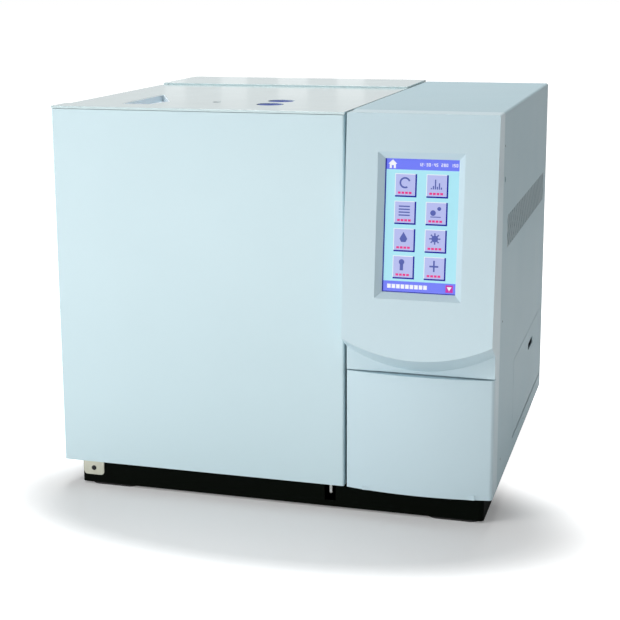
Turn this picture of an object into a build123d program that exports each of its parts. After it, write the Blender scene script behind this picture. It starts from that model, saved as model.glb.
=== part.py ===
from build123d import *
import os
from math import atan2, cos, radians, sin

# Bench gas chromatograph. +X right, +Y back, +Z up, millimetres.
# The origin lies on the table, under the middle of the bounding box.

# ---- driving dimensions -------------------------------------------------------------
DEPTH = 488.0              # from the oven door's face to the rear panel
BODY_H = 453.5             # from the oven door's lower edge to the lid
BASE_H = 33.5              # from the table to the oven door's lower edge
SHEET = 1.5                # steel sheet of the covers
DOOR_T = 42.0              # oven door
DOOR_OVERHANG = 7.0        # door stands out past the cabinet's left side
UNIT_SEAM = 3.5            # between the oven door and the control unit
UNIT_W = 176.5             # control unit
LID_D = 352.0              # lid, from the front edge to its hinge
LID_T = 3.0
LID_GAP = 0.6              # between the lid and the oven door
STRIP_RISE = 2.3           # the fixed rear strip stands above the lid
MOULD_D = 36.0             # depth of the control unit's plastic moulding
FRAME_Y = 46.0             # the cabinet's front frame behind the door's face
SLOPE_OUT = 27.5           # how far the control face leans out at the ends of its arc
SLOPE_END_DROP = 261.0     # from the top down to the ends of the arc
SLOPE_MID_DROP = 282.0     # from the top down to the middle of the arc
FASCIA_END_DROP = 277.5    # the same for the edge where the lower bevel meets the fascia
FASCIA_MID_DROP = 301.5
PANEL_H = 146.5            # flow door's height
PANEL_BULGE = 9.0          # how far its middle stands out
PANEL_WALL = 3.0
SCREEN_W = 85.9            # seven-inch display, upright
SCREEN_H = 154.1
SCREEN_DROP = 128.4        # from the top of the control face to the display's middle
SCREEN_BEVEL = 7.5
SCREEN_DEPTH = 6.0
FOOT_H = 3.0
FOOT_L = 67.0
FOOT_W = 30.0
BASE_FRONT_IN = 8.0        # the base stands back from the door's face
BASE_LEFT_IN = 20.0
BASE_RIGHT_IN = 11.0
BASE_BACK_IN = 4.0
BASE_WALL = 2.0
UNDER_DOOR = 2.5           # gap between the base and the door
MOUTH_W = 270.0            # oven mouth and cavity
MOUTH_H = 270.0
CAVITY_D = 200.0
MOUTH_IN = 50.0            # from the door's left edge to the mouth
MOUTH_SIDE = 50.0          # from the mouth to the door's right edge
DOOR_W = MOUTH_IN + MOUTH_W + MOUTH_SIDE
WIDTH = DOOR_W + UNIT_SEAM + UNIT_W
LINER_T = 1.0
INSULATION = 30.0
SHELL_T = 1.2
GAP = 0.3                  # clearance of pieces that only come near each other
RUN = 0.05                 # radial running clearance of pins and shafts
HINGE_IN = 12.0            # door hinge axis from the door's left edge and its back face
PIN_R = 4.0
LID_PIN_R = 2.0
LID_BEAD_R = 4.0
SMALL_PIN_R = 1.5
KNUCKLE_R = 3.0
FAN_R = 78.0
FAN_D = 26.0
SHAFT_R = 5.0
KNOB_R = 11.0
KNOB_D = 14.0
GAUGE_R = 20.0
GAUGE_D = 15.0
DIAL_PITCH = 52.0
PORT_R = 17.0              # openings in the lid over the injectors
SEPTUM_R = 15.5
INJECTOR_R = 12.0
INJECTOR_X = MOUTH_IN + MOUTH_W - 63.0     # from the door's left edge
INJECTOR_Y = (77.0, 124.0)  # behind the door's face
DETECTOR_X = MOUTH_IN + MOUTH_W / 2 - 2.0
DETECTOR_Y = 91.5
VENT_HOLE_R = 5.5
COVER_Y0 = 172.0           # service cover in the right side, behind the front plane
COVER_L = 300.0
COVER_UP = 22.0
COVER_H = 103.0
COVER_GAP = 2.4
GRILLE_Y0 = 77.5
GRILLE_L = 380.5
GRILLE_UP = 288.5
GRILLE_H = 39.5
SLOT_PITCH = 16.0
SLOT_W = 3.2
FITTING_R = 3.0            # gas inlet stubs at the rear
FITTING_OUT = 14.0
SCREW_R = 1.5
SCREW_HEAD_R = 3.2
SCREW_HEAD_T = 1.0
BOARD_T = 1.6
# finger pull in the lid, seen from above: (from the door's left edge, behind its face)
CUP_POINTS = ((75.0, 45.0), (75.0, 185.0), (121.0, 89.0), (112.0, 46.0))
CUP_DEPTH = 9.0

# ---- places that follow from them -----------------------------------------------------
slope = atan2(SLOPE_OUT, SLOPE_END_DROP)
SLOPE_MAX = SLOPE_OUT * SLOPE_MID_DROP / SLOPE_END_DROP
front = (SLOPE_MAX - DEPTH - FITTING_OUT) / 2
back = front + DEPTH
left = -WIDTH / 2
right = WIDTH / 2
bottom = BASE_H
top = BASE_H + BODY_H
door_r = left + DOOR_W
unit_l = door_r + UNIT_SEAM
unit_x = (unit_l + right) / 2
cab_l = left + DOOR_OVERHANG
wall_x = door_r + 0.5                  # partition's left face
lid_r = wall_x - GAP
lid_back = front + LID_D
frame_y = front + FRAME_Y
mould_y = front + MOULD_D
cover_top = top - LID_T - GAP          # upper edge of the sheets under the lid
mouth_l = left + MOUTH_IN
mouth_r = mouth_l + MOUTH_W
mouth_x = (mouth_l + mouth_r) / 2
mouth_b = bottom + 2 * SHEET + SHELL_T + INSULATION + LINER_T
mouth_t = mouth_b + MOUTH_H
mouth_z = (mouth_b + mouth_t) / 2
cavity_back = frame_y + SHEET + CAVITY_D
rear_in = back - SHEET                 # inner face of the rear panel
panel_top = bottom + PANEL_H
seam_z = panel_top + 1.5               # lower edge of the fixed fascia
hinge_x = left + HINGE_IN
hinge_y = front + DOOR_T - HINGE_IN
door_top = top - LID_T - LID_GAP

os.makedirs("parts", exist_ok=True)


def save(piece, name):
    """Label a finished piece and write its STEP file."""
    piece.part.label = name
    export_step(piece.part, f"parts/{name}.step")


def block(x0, x1, y0, y1, z0, z1, mode=Mode.ADD):
    """A box between two corners."""
    with Locations(((x0 + x1) / 2, (y0 + y1) / 2, (z0 + z1) / 2)):
        Box(x1 - x0, y1 - y0, z1 - z0, mode=mode)


def rod_x(radius, x0, x1, y, z, mode=Mode.ADD):
    with Locations(Location(((x0 + x1) / 2, y, z), (0, 90, 0))):
        Cylinder(radius, x1 - x0, mode=mode)


def rod_y(radius, x, y0, y1, z, mode=Mode.ADD):
    with Locations(Location((x, (y0 + y1) / 2, z), (90, 0, 0))):
        Cylinder(radius, y1 - y0, mode=mode)


def rod_z(radius, x, y, z0, z1, mode=Mode.ADD):
    with Locations((x, y, (z0 + z1) / 2)):
        Cylinder(radius, z1 - z0, mode=mode)


def front_plane(y):
    """A sketch plane that faces the front, with +X right and its own y up."""
    return Plane(origin=(0, y, 0), x_dir=(1, 0, 0), z_dir=(0, -1, 0))


def side_plane(x):
    """A sketch plane that faces right, with its own x towards the back."""
    return Plane(origin=(x, 0, 0), x_dir=(0, 1, 0), z_dir=(1, 0, 0))


# ==== base =============================================================================
base_l = left + BASE_LEFT_IN
base_r = right - BASE_RIGHT_IN
base_f = front + BASE_FRONT_IN
base_b = back - BASE_BACK_IN
RIM = 14.0
FOOT_BOSS_R = 6.0
foot_xs = (left + 62.0, right - 48.0)
foot_ys = (base_f + FOOT_W / 2 + 2, base_b - FOOT_W / 2 - 6)
step_y = frame_y - 1.0
REL_PIN_R = 3.25                       # release pin under the oven door
REL_PIN_DROP = 16.0
rel_pin_x = left + 350.5
rel_pin_y = front + 14.0
NOTCH = 7.0

with BuildPart() as base_tray:
    block(base_l, base_r, base_f, base_b, FOOT_H, bottom)
    fillet(base_tray.edges().filter_by(Axis.Z), 5)
    block(base_l, base_r, base_f, step_y, bottom - UNDER_DOOR, bottom, Mode.SUBTRACT)
    block(base_l + BASE_WALL, base_r - BASE_WALL, base_f + BASE_WALL, base_b - BASE_WALL,
          FOOT_H + BASE_WALL, bottom - UNDER_DOOR - BASE_WALL, Mode.SUBTRACT)
    block(base_l + RIM, base_r - RIM, frame_y + RIM, base_b - RIM, FOOT_H + 6, bottom, Mode.SUBTRACT)
    block(rel_pin_x - NOTCH, rel_pin_x + NOTCH, base_f - 1, rel_pin_y + NOTCH,
          bottom - REL_PIN_DROP - NOTCH, bottom, Mode.SUBTRACT)
    for x in foot_xs:
        for y in foot_ys:
            rod_z(FOOT_BOSS_R + RUN, x, y, 0, FOOT_H + BASE_WALL, Mode.SUBTRACT)
save(base_tray, "base_tray")

with BuildPart() as feet:
    with BuildSketch():
        for x in foot_xs:
            for y in foot_ys:
                with Locations((x, y)):
                    SlotOverall(FOOT_L, FOOT_W)
    extrude(amount=FOOT_H)
    for x in foot_xs:
        for y in foot_ys:
            rod_z(FOOT_BOSS_R, x, y, FOOT_H, FOOT_H + BASE_WALL + 2)
save(feet, "feet")

# ==== cabinet sheets ===================================================================
FLANGE = 30.0
LOUVRE_L = 70.0
LOUVRE_W = 4.0

with BuildPart() as left_cover:
    block(cab_l, cab_l + SHEET, frame_y, rear_in, bottom, cover_top)
    block(cab_l, cab_l + FLANGE, frame_y, rear_in, bottom, bottom + SHEET)
    with BuildSketch(side_plane(cab_l - 1)) as louvres:
        for y in (frame_y + 290, frame_y + 380):
            with Locations((y, (bottom + top) / 2)):
                with GridLocations(LOUVRE_L + 20, 2 * LOUVRE_W + 4, 1, 12):
                    SlotOverall(LOUVRE_L, LOUVRE_W)
    extrude(amount=SHEET + 2, mode=Mode.SUBTRACT)
save(left_cover, "left_cover")

cover_y0 = front + COVER_Y0
cover_y1 = cover_y0 + COVER_L
cover_z0 = bottom + COVER_UP
cover_z1 = cover_z0 + COVER_H
grille_y = front + GRILLE_Y0 + GRILLE_L / 2
grille_z = bottom + GRILLE_UP + GRILLE_H / 2
slot_count = int((GRILLE_L + GRILLE_H) / SLOT_PITCH) - 1
# screws in the right side: (behind the front plane, above the door's lower edge)
SIDE_SCREWS = ((43.5, 414.4), (53.8, 204.3), (62.7, 29.8), (288.0, 10.0), (480.0, 375.5))
SIDE_PORT = (50.4, 374.6)              # round access hole
SIDE_PORT_R = 3.5

with BuildPart() as right_cover:
    block(right - SHEET, right, mould_y, rear_in, bottom, top)
    block(wall_x + SHEET + GAP, right, mould_y, rear_in, top - SHEET, top)
    fillet(right_cover.edges().filter_by(Axis.Y).group_by(Axis.Z)[-1].sort_by(Axis.X)[-1], 3)
    block(right - FLANGE, right, frame_y, rear_in, bottom, bottom + SHEET)
    with BuildSketch(side_plane(right + 1)) as grille:
        with Locations((grille_y, grille_z)):
            with GridLocations(SLOT_PITCH, 1, slot_count, 1):
                Rectangle(2 * GRILLE_H, SLOT_W, rotation=-45)
            Rectangle(GRILLE_L, GRILLE_H, mode=Mode.INTERSECT)
    extrude(amount=-SHEET - 2, mode=Mode.SUBTRACT)
    block(right - SHEET - 1, right + 1, cover_y0 - 1, cover_y1 + 1,
          cover_z0 - COVER_GAP, cover_z1 + 1, Mode.SUBTRACT)
    rod_x(SIDE_PORT_R, right - SHEET - 1, right + 1, front + SIDE_PORT[0], bottom + SIDE_PORT[1], Mode.SUBTRACT)
    for y, z in SIDE_SCREWS:
        rod_x(SCREW_R + RUN, right - SHEET - 1, right + 1, front + y, bottom + z, Mode.SUBTRACT)
save(right_cover, "right_cover")

with BuildPart() as partition:
    block(wall_x, wall_x + SHEET, mould_y, rear_in, bottom, top - SHEET)
save(partition, "partition")

with BuildPart() as front_frame:
    block(cab_l + SHEET, wall_x, frame_y, frame_y + SHEET, bottom + SHEET, cover_top)
    block(mouth_l, mouth_r, frame_y - 1, frame_y + SHEET + 1, mouth_b, mouth_t, Mode.SUBTRACT)
    cup_l = min(x for x, _ in CUP_POINTS)
    cup_r = max(x for x, _ in CUP_POINTS)
    block(left + cup_l - 2, left + cup_r + 2, frame_y - 1, frame_y + SHEET + 1, top - CUP_DEPTH - 2, top,
          Mode.SUBTRACT)
save(front_frame, "front_frame")

# rear panel: openings for the ducts, the fan, the inlet and the gas stubs
duct_z = mouth_t - 45
DUCT = 56.0
exhaust_x = mouth_l + 45
intake_x = mouth_r - 45
fan_x = right - 60
fan_z = bottom + 320
CASE_FAN_R = 38.0
inlet_x = right - 45
inlet_z = bottom + 50
INLET_W = 27.0
INLET_H = 48.0
stub_xs = [unit_l + 22 + 28 * i for i in range(3)]
stub_z = bottom + 130

with BuildPart() as rear_panel:
    block(cab_l, right, rear_in, back, bottom, top - SHEET)
    for x in (exhaust_x, intake_x):
        block(x - DUCT / 2, x + DUCT / 2, rear_in - 1, back + 1, duct_z - DUCT / 2, duct_z + DUCT / 2, Mode.SUBTRACT)
    rod_y(CASE_FAN_R, fan_x, rear_in - 1, back + 1, fan_z, Mode.SUBTRACT)
    block(inlet_x - INLET_W / 2, inlet_x + INLET_W / 2, rear_in - 1, back + 1,
          inlet_z - INLET_H / 2, inlet_z + INLET_H / 2, Mode.SUBTRACT)
    for x in stub_xs:
        rod_y(FITTING_R + 1 + RUN, x, rear_in - 1, back + 1, stub_z, Mode.SUBTRACT)
save(rear_panel, "rear_panel")

strip_l = cab_l
strip_r = wall_x - GAP
strip_f = lid_back + 1.0
strip_t = top + STRIP_RISE
STRIP_WALL = 2.0
pin_y = lid_back - LID_BEAD_R          # lid hinge axis
pin_z = top - LID_BEAD_R
EAR_W = 6.0
ear_l = strip_l + SHEET + GAP
with BuildPart() as rear_strip:
    block(strip_l, strip_r, strip_f, back, cover_top, strip_t)
    fillet(rear_strip.edges().filter_by(Axis.X).group_by(Axis.Z)[-1].group_by(Axis.Y)[0], STRIP_WALL / 2)
    fillet(rear_strip.edges().filter_by(Axis.Z).sort_by(Axis.Y)[-2:].sort_by(Axis.X)[0], 8)
    block(strip_l + STRIP_WALL, strip_r - STRIP_WALL, strip_f + STRIP_WALL, back - STRIP_WALL,
          cover_top - 1, strip_t - STRIP_WALL, Mode.SUBTRACT)
    # ears that hold the lid's pins
    for ear_x, ear_end in ((ear_l, strip_l + EAR_W), (strip_r - EAR_W, strip_r)):
        block(ear_x, ear_end, pin_y, strip_f + 1, top - 2 * LID_BEAD_R, top)
        rod_x(LID_BEAD_R, ear_x, ear_end, pin_y, pin_z)
    block(strip_l, strip_r, rear_in - 1, back + 1, cover_top - 1, top - SHEET, Mode.SUBTRACT)
    rod_x(LID_PIN_R, ear_l - 1, strip_r + 1, pin_y, pin_z, Mode.SUBTRACT)
save(rear_strip, "rear_strip")

# ==== lid ==============================================================================
LIP_T = 3.0
RIB_D = 12.0
CUP_WALL = 1.5
cup_outline = [(left + x, front + y) for x, y in CUP_POINTS]
lid_rib_l = cab_l + SHEET + GAP
bead_l = cab_l + EAR_W + GAP
bead_r = lid_r - EAR_W - GAP

with BuildPart() as lid:
    block(cab_l, lid_r, front, pin_y, top - LID_T, top)
    block(left, cab_l + 1, front, front + DOOR_T - 1, top - LID_T, top)
    fillet(lid.edges().filter_by(Axis.X).group_by(Axis.Z)[-1].group_by(Axis.Y)[0], LID_T / 2)
    rod_x(LID_BEAD_R, bead_l, bead_r, pin_y, pin_z)
    block(bead_l, bead_r, pin_y - 6, pin_y, top - 2 * LID_BEAD_R, top)
    block(cab_l, lid_r, pin_y - LID_BEAD_R - GAP, pin_y, top - LID_T - 1, top, Mode.SUBTRACT)
    block(bead_l, bead_r, pin_y - 6, pin_y, top - 2 * LID_BEAD_R, top)
    rod_x(LID_BEAD_R, bead_l, bead_r, pin_y, pin_z)
    # stiffening ribs under the skin, clear of the front frame
    block(lid_rib_l, lid_rib_l + LIP_T, frame_y + 4, pin_y - 6, top - RIB_D, top - 1)
    block(lid_r - 2 * LIP_T, lid_r - LIP_T, frame_y + 4, pin_y - 6, top - RIB_D, top - 1)
    block(lid_rib_l, lid_r - LIP_T, frame_y + 4, frame_y + 4 + LIP_T, top - RIB_D, top - 1)
    rod_x(LID_PIN_R + RUN, bead_l - 1, bead_r + 1, pin_y, pin_z, Mode.SUBTRACT)
    for y in INJECTOR_Y:
        rod_z(PORT_R, left + INJECTOR_X, front + y, top - RIB_D - 1, top + 1, Mode.SUBTRACT)
    rod_z(VENT_HOLE_R, left + DETECTOR_X, front + DETECTOR_Y, top - RIB_D - 1, top + 1, Mode.SUBTRACT)
    with BuildSketch(Plane.XY.offset(top + 1)) as cup_hole:
        with BuildLine():
            Polyline(*cup_outline, close=True)
        make_face()
        fillet(cup_hole.vertices(), 2.5)
    extrude(amount=-RIB_D - 2, mode=Mode.SUBTRACT)
save(lid, "lid")

with BuildPart() as lid_finger_cup:
    with BuildSketch(Plane.XY.offset(top - 0.4)) as cup_outer:
        with BuildLine():
            Polyline(*cup_outline, close=True)
        make_face()
        fillet(cup_outer.vertices(), 2.5)
    extrude(amount=-CUP_DEPTH)
    with BuildSketch(Plane.XY.offset(top - 0.4)) as cup_inner:
        with BuildLine():
            Polyline(*cup_outline, close=True)
        make_face()
        fillet(cup_inner.vertices(), 2.5)
        offset(amount=-CUP_WALL, mode=Mode.REPLACE)
    extrude(amount=-CUP_DEPTH + CUP_WALL, mode=Mode.SUBTRACT)
save(lid_finger_cup, "lid_finger_cup")

# ==== oven door ========================================================================
SKIN = 2.0
LINER_PLATE = 1.2
GASKET_W = 10.0
BOSS_R = 9.0
BOSS_H = 20.0
BRACKET_T = 1.5
RECESS_D = 6.5
door_b = front + DOOR_T
gasket_in = 6.0
REL_HOUSE_H = 34.0
REL_TRAVEL = 5.0
catch_z = bottom + 22.0

with BuildPart() as door_skin:
    block(left, door_r, front, door_b, bottom, door_top)
    fillet(door_skin.edges().filter_by(Axis.Z).group_by(Axis.Y)[0], 2.5)
    fillet(door_skin.edges().filter_by(Axis.Z).group_by(Axis.Y)[-1].sort_by(Axis.X)[0], HINGE_IN)
    # hollow, rounded at the hinge like the outside
    block(left + SKIN, door_r - SKIN, front + SKIN, hinge_y, bottom + SKIN, door_top - SKIN, Mode.SUBTRACT)
    block(hinge_x, door_r - SKIN, hinge_y - 1, door_b - LINER_PLATE, bottom + SKIN, door_top - SKIN,
          Mode.SUBTRACT)
    rod_z(HINGE_IN - SKIN, hinge_x, hinge_y, bottom + SKIN, door_top - SKIN, Mode.SUBTRACT)
    block(hinge_x + BOSS_R + 4, door_r - SKIN, door_b - LINER_PLATE - 1, door_b + 1,
          bottom + SKIN, door_top - SKIN, Mode.SUBTRACT)
    # hinge bosses, with the corner recess for the upper bracket
    rod_z(BOSS_R, hinge_x, hinge_y, bottom, bottom + BOSS_H)
    rod_z(BOSS_R, hinge_x, hinge_y, door_top - RECESS_D - BOSS_H, door_top)
    block(left + SKIN, hinge_x + BOSS_R + 3, hinge_y - BOSS_R - 4, hinge_y - BOSS_R - 2,
          door_top - RECESS_D - 2, door_top)
    block(left + SKIN / 2, hinge_x, hinge_y - BOSS_R - 2, hinge_y, door_top - RECESS_D - 2, door_top - RECESS_D)
    block(hinge_x, hinge_x + BOSS_R + 4, hinge_y - BOSS_R - 2, door_b - LINER_PLATE,
          door_top - RECESS_D - 2, door_top - RECESS_D)
    rod_z(HINGE_IN - SKIN / 2, hinge_x, hinge_y, door_top - RECESS_D - 2, door_top - RECESS_D)
    block(left - 1, hinge_x + BOSS_R + 2, hinge_y - BOSS_R - 2, door_b + 1, door_top - RECESS_D, door_top + 1,
          Mode.SUBTRACT)
    for z0, z1 in ((bottom - 1, bottom + BOSS_H - 4), (door_top - RECESS_D - BOSS_H + 4, door_top)):
        rod_z(PIN_R + RUN, hinge_x, hinge_y, z0, z1, Mode.SUBTRACT)
    # guide of the release pin and its spring
    block(rel_pin_x - 8, rel_pin_x + 8, front + SKIN - 1, rel_pin_y + 8, bottom + SKIN - 1, bottom + REL_HOUSE_H)
    rod_z(REL_PIN_R + 3.5, rel_pin_x, rel_pin_y, bottom + SKIN, bottom + REL_HOUSE_H - 3, Mode.SUBTRACT)
    rod_z(REL_PIN_R + RUN, rel_pin_x, rel_pin_y, bottom - 1, bottom + SKIN + 1, Mode.SUBTRACT)
save(door_skin, "door_skin")

ins_l = hinge_x + BOSS_R + 6
ins_r = rel_pin_x - REL_PIN_R - 8
with BuildPart() as door_insulation:
    block(ins_l, ins_r, front + SKIN, door_b - LINER_PLATE, bottom + SKIN, door_top - RECESS_D - SKIN - 2)
save(door_insulation, "door_insulation")

with BuildPart() as door_liner:
    block(hinge_x + BOSS_R + 4, door_r - SKIN, door_b - LINER_PLATE, door_b, bottom + SKIN, door_top - SKIN)
    # pressed panel that faces the cavity
    block(mouth_l + 12, mouth_r - 12, door_b, door_b + 2.5, mouth_b + 12, mouth_t - 12)
    fillet(door_liner.edges().filter_by(Axis.Y).group_by(Axis.Y)[-1], 10)
save(door_liner, "door_liner")

with BuildPart() as door_gasket:
    with BuildSketch(front_plane(door_b)):
        with Locations((mouth_x, mouth_z)):
            RectangleRounded(MOUTH_W + 2 * gasket_in + 2 * GASKET_W, MOUTH_H + 2 * gasket_in + 2 * GASKET_W, 16)
            RectangleRounded(MOUTH_W + 2 * gasket_in, MOUTH_H + 2 * gasket_in, 10, mode=Mode.SUBTRACT)
    extrude(amount=-(FRAME_Y - DOOR_T - GAP))
save(door_gasket, "door_gasket")

PLATE_L = 28.0
plate_l = left + 23.0
plate_z0 = bottom - 20.0
leg_z = bottom - UNDER_DOOR
SCREW_DROP = 11.0
with BuildPart() as lower_hinge:
    with BuildSketch(front_plane(base_f)):
        with Locations((plate_l + PLATE_L / 2, (plate_z0 + bottom - 1) / 2)):
            Rectangle(PLATE_L, bottom - 1 - plate_z0)
    extrude(amount=BRACKET_T)
    fillet(lower_hinge.edges().filter_by(Axis.Y).group_by(Axis.Z)[0], 5)
    block(hinge_x, plate_l + PLATE_L, base_f - BRACKET_T, hinge_y + BOSS_R - 1, leg_z, leg_z + BRACKET_T)
    rod_z(BOSS_R - 1, hinge_x, hinge_y, leg_z, leg_z + BRACKET_T)
    rod_z(PIN_R, hinge_x, hinge_y, leg_z, bottom + BOSS_H - 5)
    rod_y(SCREW_R, plate_l + PLATE_L / 2, base_f - BRACKET_T - 1, base_f + 1, bottom - SCREW_DROP, Mode.SUBTRACT)
save(lower_hinge, "lower_hinge")

arm_z = door_top - RECESS_D + 2.0
with BuildPart() as upper_hinge:
    block(hinge_x - PIN_R, hinge_x + BOSS_R - 1, hinge_y, frame_y, arm_z, arm_z + BRACKET_T)
    rod_z(BOSS_R - 1, hinge_x, hinge_y, arm_z, arm_z + BRACKET_T)
    rod_z(PIN_R - 2 * RUN, hinge_x, hinge_y, door_top - RECESS_D - BOSS_H + 5, arm_z + BRACKET_T)
    block(cab_l + SHEET + 1, hinge_x + BOSS_R - 1, frame_y - BRACKET_T, frame_y, arm_z - 16, arm_z + BRACKET_T)
save(upper_hinge, "upper_hinge")

with BuildPart() as release_pin:
    rod_z(REL_PIN_R, rel_pin_x, rel_pin_y, bottom - REL_PIN_DROP, bottom + 20)
    fillet(release_pin.edges().group_by(Axis.Z)[0], 2.5)
    rod_z(REL_PIN_R + 2.5, rel_pin_x, rel_pin_y, bottom + SKIN + GAP, bottom + SKIN + GAP + 2)
save(release_pin, "release_pin")

spring_z = bottom + SKIN + GAP + 2.6
with BuildPart() as release_spring:
    with BuildLine() as coil_line:
        Helix(pitch=3.5, height=25.5, radius=REL_PIN_R + 1.6, center=(rel_pin_x, rel_pin_y, spring_z))
    with BuildSketch(Plane(origin=coil_line.line @ 0, z_dir=coil_line.line % 0)):
        Circle(0.5)
    sweep(path=coil_line.line)
save(release_spring, "release_spring")

# ==== floor ============================================================================
with BuildPart() as floor_plates:
    block(cab_l + SHEET, wall_x, frame_y + SHEET, rear_in, bottom + SHEET, bottom + 2 * SHEET)
    block(wall_x + SHEET, right - SHEET, mould_y + SHEET, rear_in, bottom + SHEET, bottom + 2 * SHEET)
save(floor_plates, "floor_plates")

# ==== oven =============================================================================
wall_step = LINER_T + INSULATION + SHELL_T
liner_back = cavity_back + LINER_T
wool_back = liner_back + INSULATION
shell_back = wool_back + SHELL_T
shell_top = mouth_t + wall_step
oven_f = frame_y + SHEET
TUBE_R = 6.0
DETECTOR_TUBE_R = 5.0
PROBE_R = 1.5
SHAFT_HOLE_R = SHAFT_R + 1.5
injector_x = left + INJECTOR_X
injector_ys = [front + y for y in INJECTOR_Y]
detector_x = left + DETECTOR_X
detector_y = front + DETECTOR_Y
probe_x = mouth_l + 20.0
probe_z = mouth_b + 20.0


def oven_layer(inner, outer, y_inner, y_outer):
    """One open-fronted box of the oven wall, with the holes that all its walls share."""
    block(mouth_l - outer, mouth_r + outer, oven_f, y_outer, mouth_b - outer, mouth_t + outer)
    block(mouth_l - inner, mouth_r + inner, oven_f - 1, y_inner, mouth_b - inner, mouth_t + inner, Mode.SUBTRACT)
    for y in injector_ys:
        rod_z(TUBE_R, injector_x, y, mouth_t - 1, shell_top + 1, Mode.SUBTRACT)
    rod_z(DETECTOR_TUBE_R, detector_x, detector_y, mouth_t - 1, shell_top + 1, Mode.SUBTRACT)
    rod_y(SHAFT_HOLE_R, mouth_x, y_inner - 1, shell_back + 1, mouth_z, Mode.SUBTRACT)
    rod_y(PROBE_R, probe_x, y_inner - 1, shell_back + 1, probe_z, Mode.SUBTRACT)


DUCT_T = 1.5
with BuildPart() as oven_liner:
    oven_layer(0, LINER_T, cavity_back, liner_back)
    for x in (exhaust_x, intake_x):
        half = DUCT / 2 - DUCT_T
        block(x - half, x + half, cavity_back - 1, liner_back + 1, duct_z - half, duct_z + half, Mode.SUBTRACT)
save(oven_liner, "oven_liner")

with BuildPart() as oven_insulation:
    oven_layer(LINER_T, LINER_T + INSULATION, liner_back, wool_back)
    for x in (exhaust_x, intake_x):
        block(x - DUCT / 2, x + DUCT / 2, liner_back - 1, wool_back + 1, duct_z - DUCT / 2, duct_z + DUCT / 2,
              Mode.SUBTRACT)
save(oven_insulation, "oven_insulation")

with BuildPart() as oven_shell:
    oven_layer(LINER_T + INSULATION, wall_step, wool_back, shell_back)
    for x in (exhaust_x, intake_x):
        block(x - DUCT / 2, x + DUCT / 2, wool_back - 1, shell_back + 1, duct_z - DUCT / 2, duct_z + DUCT / 2,
              Mode.SUBTRACT)
save(oven_shell, "oven_shell")

flap_y = back - 32.0
FLAP_SHAFT_R = 2.0
FLAP_GAP = 0.7
with BuildPart() as air_ducts:
    for x in (exhaust_x, intake_x):
        half = DUCT / 2 - DUCT_T
        block(x - DUCT / 2, x + DUCT / 2, liner_back, back, duct_z - DUCT / 2, duct_z + DUCT / 2)
        block(x - half, x + half, liner_back - 1, back + 1, duct_z - half, duct_z + half, Mode.SUBTRACT)
    rod_x(FLAP_SHAFT_R + RUN, exhaust_x - DUCT, intake_x + DUCT, flap_y, duct_z, Mode.SUBTRACT)
save(air_ducts, "air_ducts")

STEPPER_W = 35.0
STEPPER_L = 28.0
stepper_x = intake_x + DUCT / 2
with BuildPart() as vent_flaps:
    half = DUCT / 2 - DUCT_T - FLAP_GAP
    for x in (exhaust_x, intake_x):
        block(x - half, x + half, flap_y - 0.6, flap_y + 0.6, duct_z - half, duct_z + half)
    rod_x(FLAP_SHAFT_R, exhaust_x - DUCT / 2 - 4, stepper_x + STEPPER_L - 4, flap_y, duct_z)
save(vent_flaps, "vent_flaps")

with BuildPart() as flap_stepper:
    block(stepper_x, stepper_x + STEPPER_L, flap_y - STEPPER_W / 2, flap_y + STEPPER_W / 2,
          duct_z - STEPPER_W / 2, duct_z + STEPPER_W / 2)
    fillet(flap_stepper.edges().filter_by(Axis.X), 4)
    rod_x(FLAP_SHAFT_R + RUN, stepper_x - 1, stepper_x + STEPPER_L - 3, flap_y, duct_z, Mode.SUBTRACT)
save(flap_stepper, "flap_stepper")

MOTOR_R = 40.0
MOTOR_L = 52.0
MOTOR_STAND = 12.0
fan_y = cavity_back - 22.0
fan_f = fan_y - FAN_D / 2
fan_b = fan_y + FAN_D / 2
BLADES = 12
with BuildPart() as oven_fan:
    rod_y(FAN_R, mouth_x, fan_b - 1.5, fan_b, mouth_z)
    rod_y(16, mouth_x, fan_f, fan_b, mouth_z)
    with BuildSketch(front_plane(fan_b - 1)):
        with Locations((mouth_x, mouth_z)):
            with PolarLocations((FAN_R + 34) / 2, BLADES):
                Rectangle(FAN_R - 34, 1.5)
    extrude(amount=FAN_D - 1)
    rod_y(SHAFT_R, mouth_x, fan_f, shell_back + MOTOR_STAND + MOTOR_L - 6, mouth_z)
save(oven_fan, "oven_fan")

with BuildPart() as fan_motor:
    rod_y(MOTOR_R, mouth_x, shell_back + MOTOR_STAND, shell_back + MOTOR_STAND + MOTOR_L, mouth_z)
    with BuildSketch(front_plane(shell_back)):
        with Locations((mouth_x, mouth_z)):
            with PolarLocations(MOTOR_R - 7, 4, start_angle=45):
                Circle(5)
    extrude(amount=-MOTOR_STAND - 1)
    rod_y(SHAFT_R + RUN, mouth_x, shell_back, shell_back + MOTOR_STAND + MOTOR_L - 4, mouth_z, Mode.SUBTRACT)
save(fan_motor, "fan_motor")

HEATER_R = 92.0
HEATER_WIRE_R = 3.0
with BuildPart() as heater_coil:
    with Locations(Location((mouth_x, fan_y, mouth_z), (90, 0, 0))):
        Torus(HEATER_R, HEATER_WIRE_R)
    with BuildSketch(front_plane(cavity_back)):
        with Locations((mouth_x, mouth_z)):
            with PolarLocations(HEATER_R, 3, start_angle=90):
                Circle(4)
    extrude(amount=cavity_back - fan_y)
save(heater_coil, "heater_coil")

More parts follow.
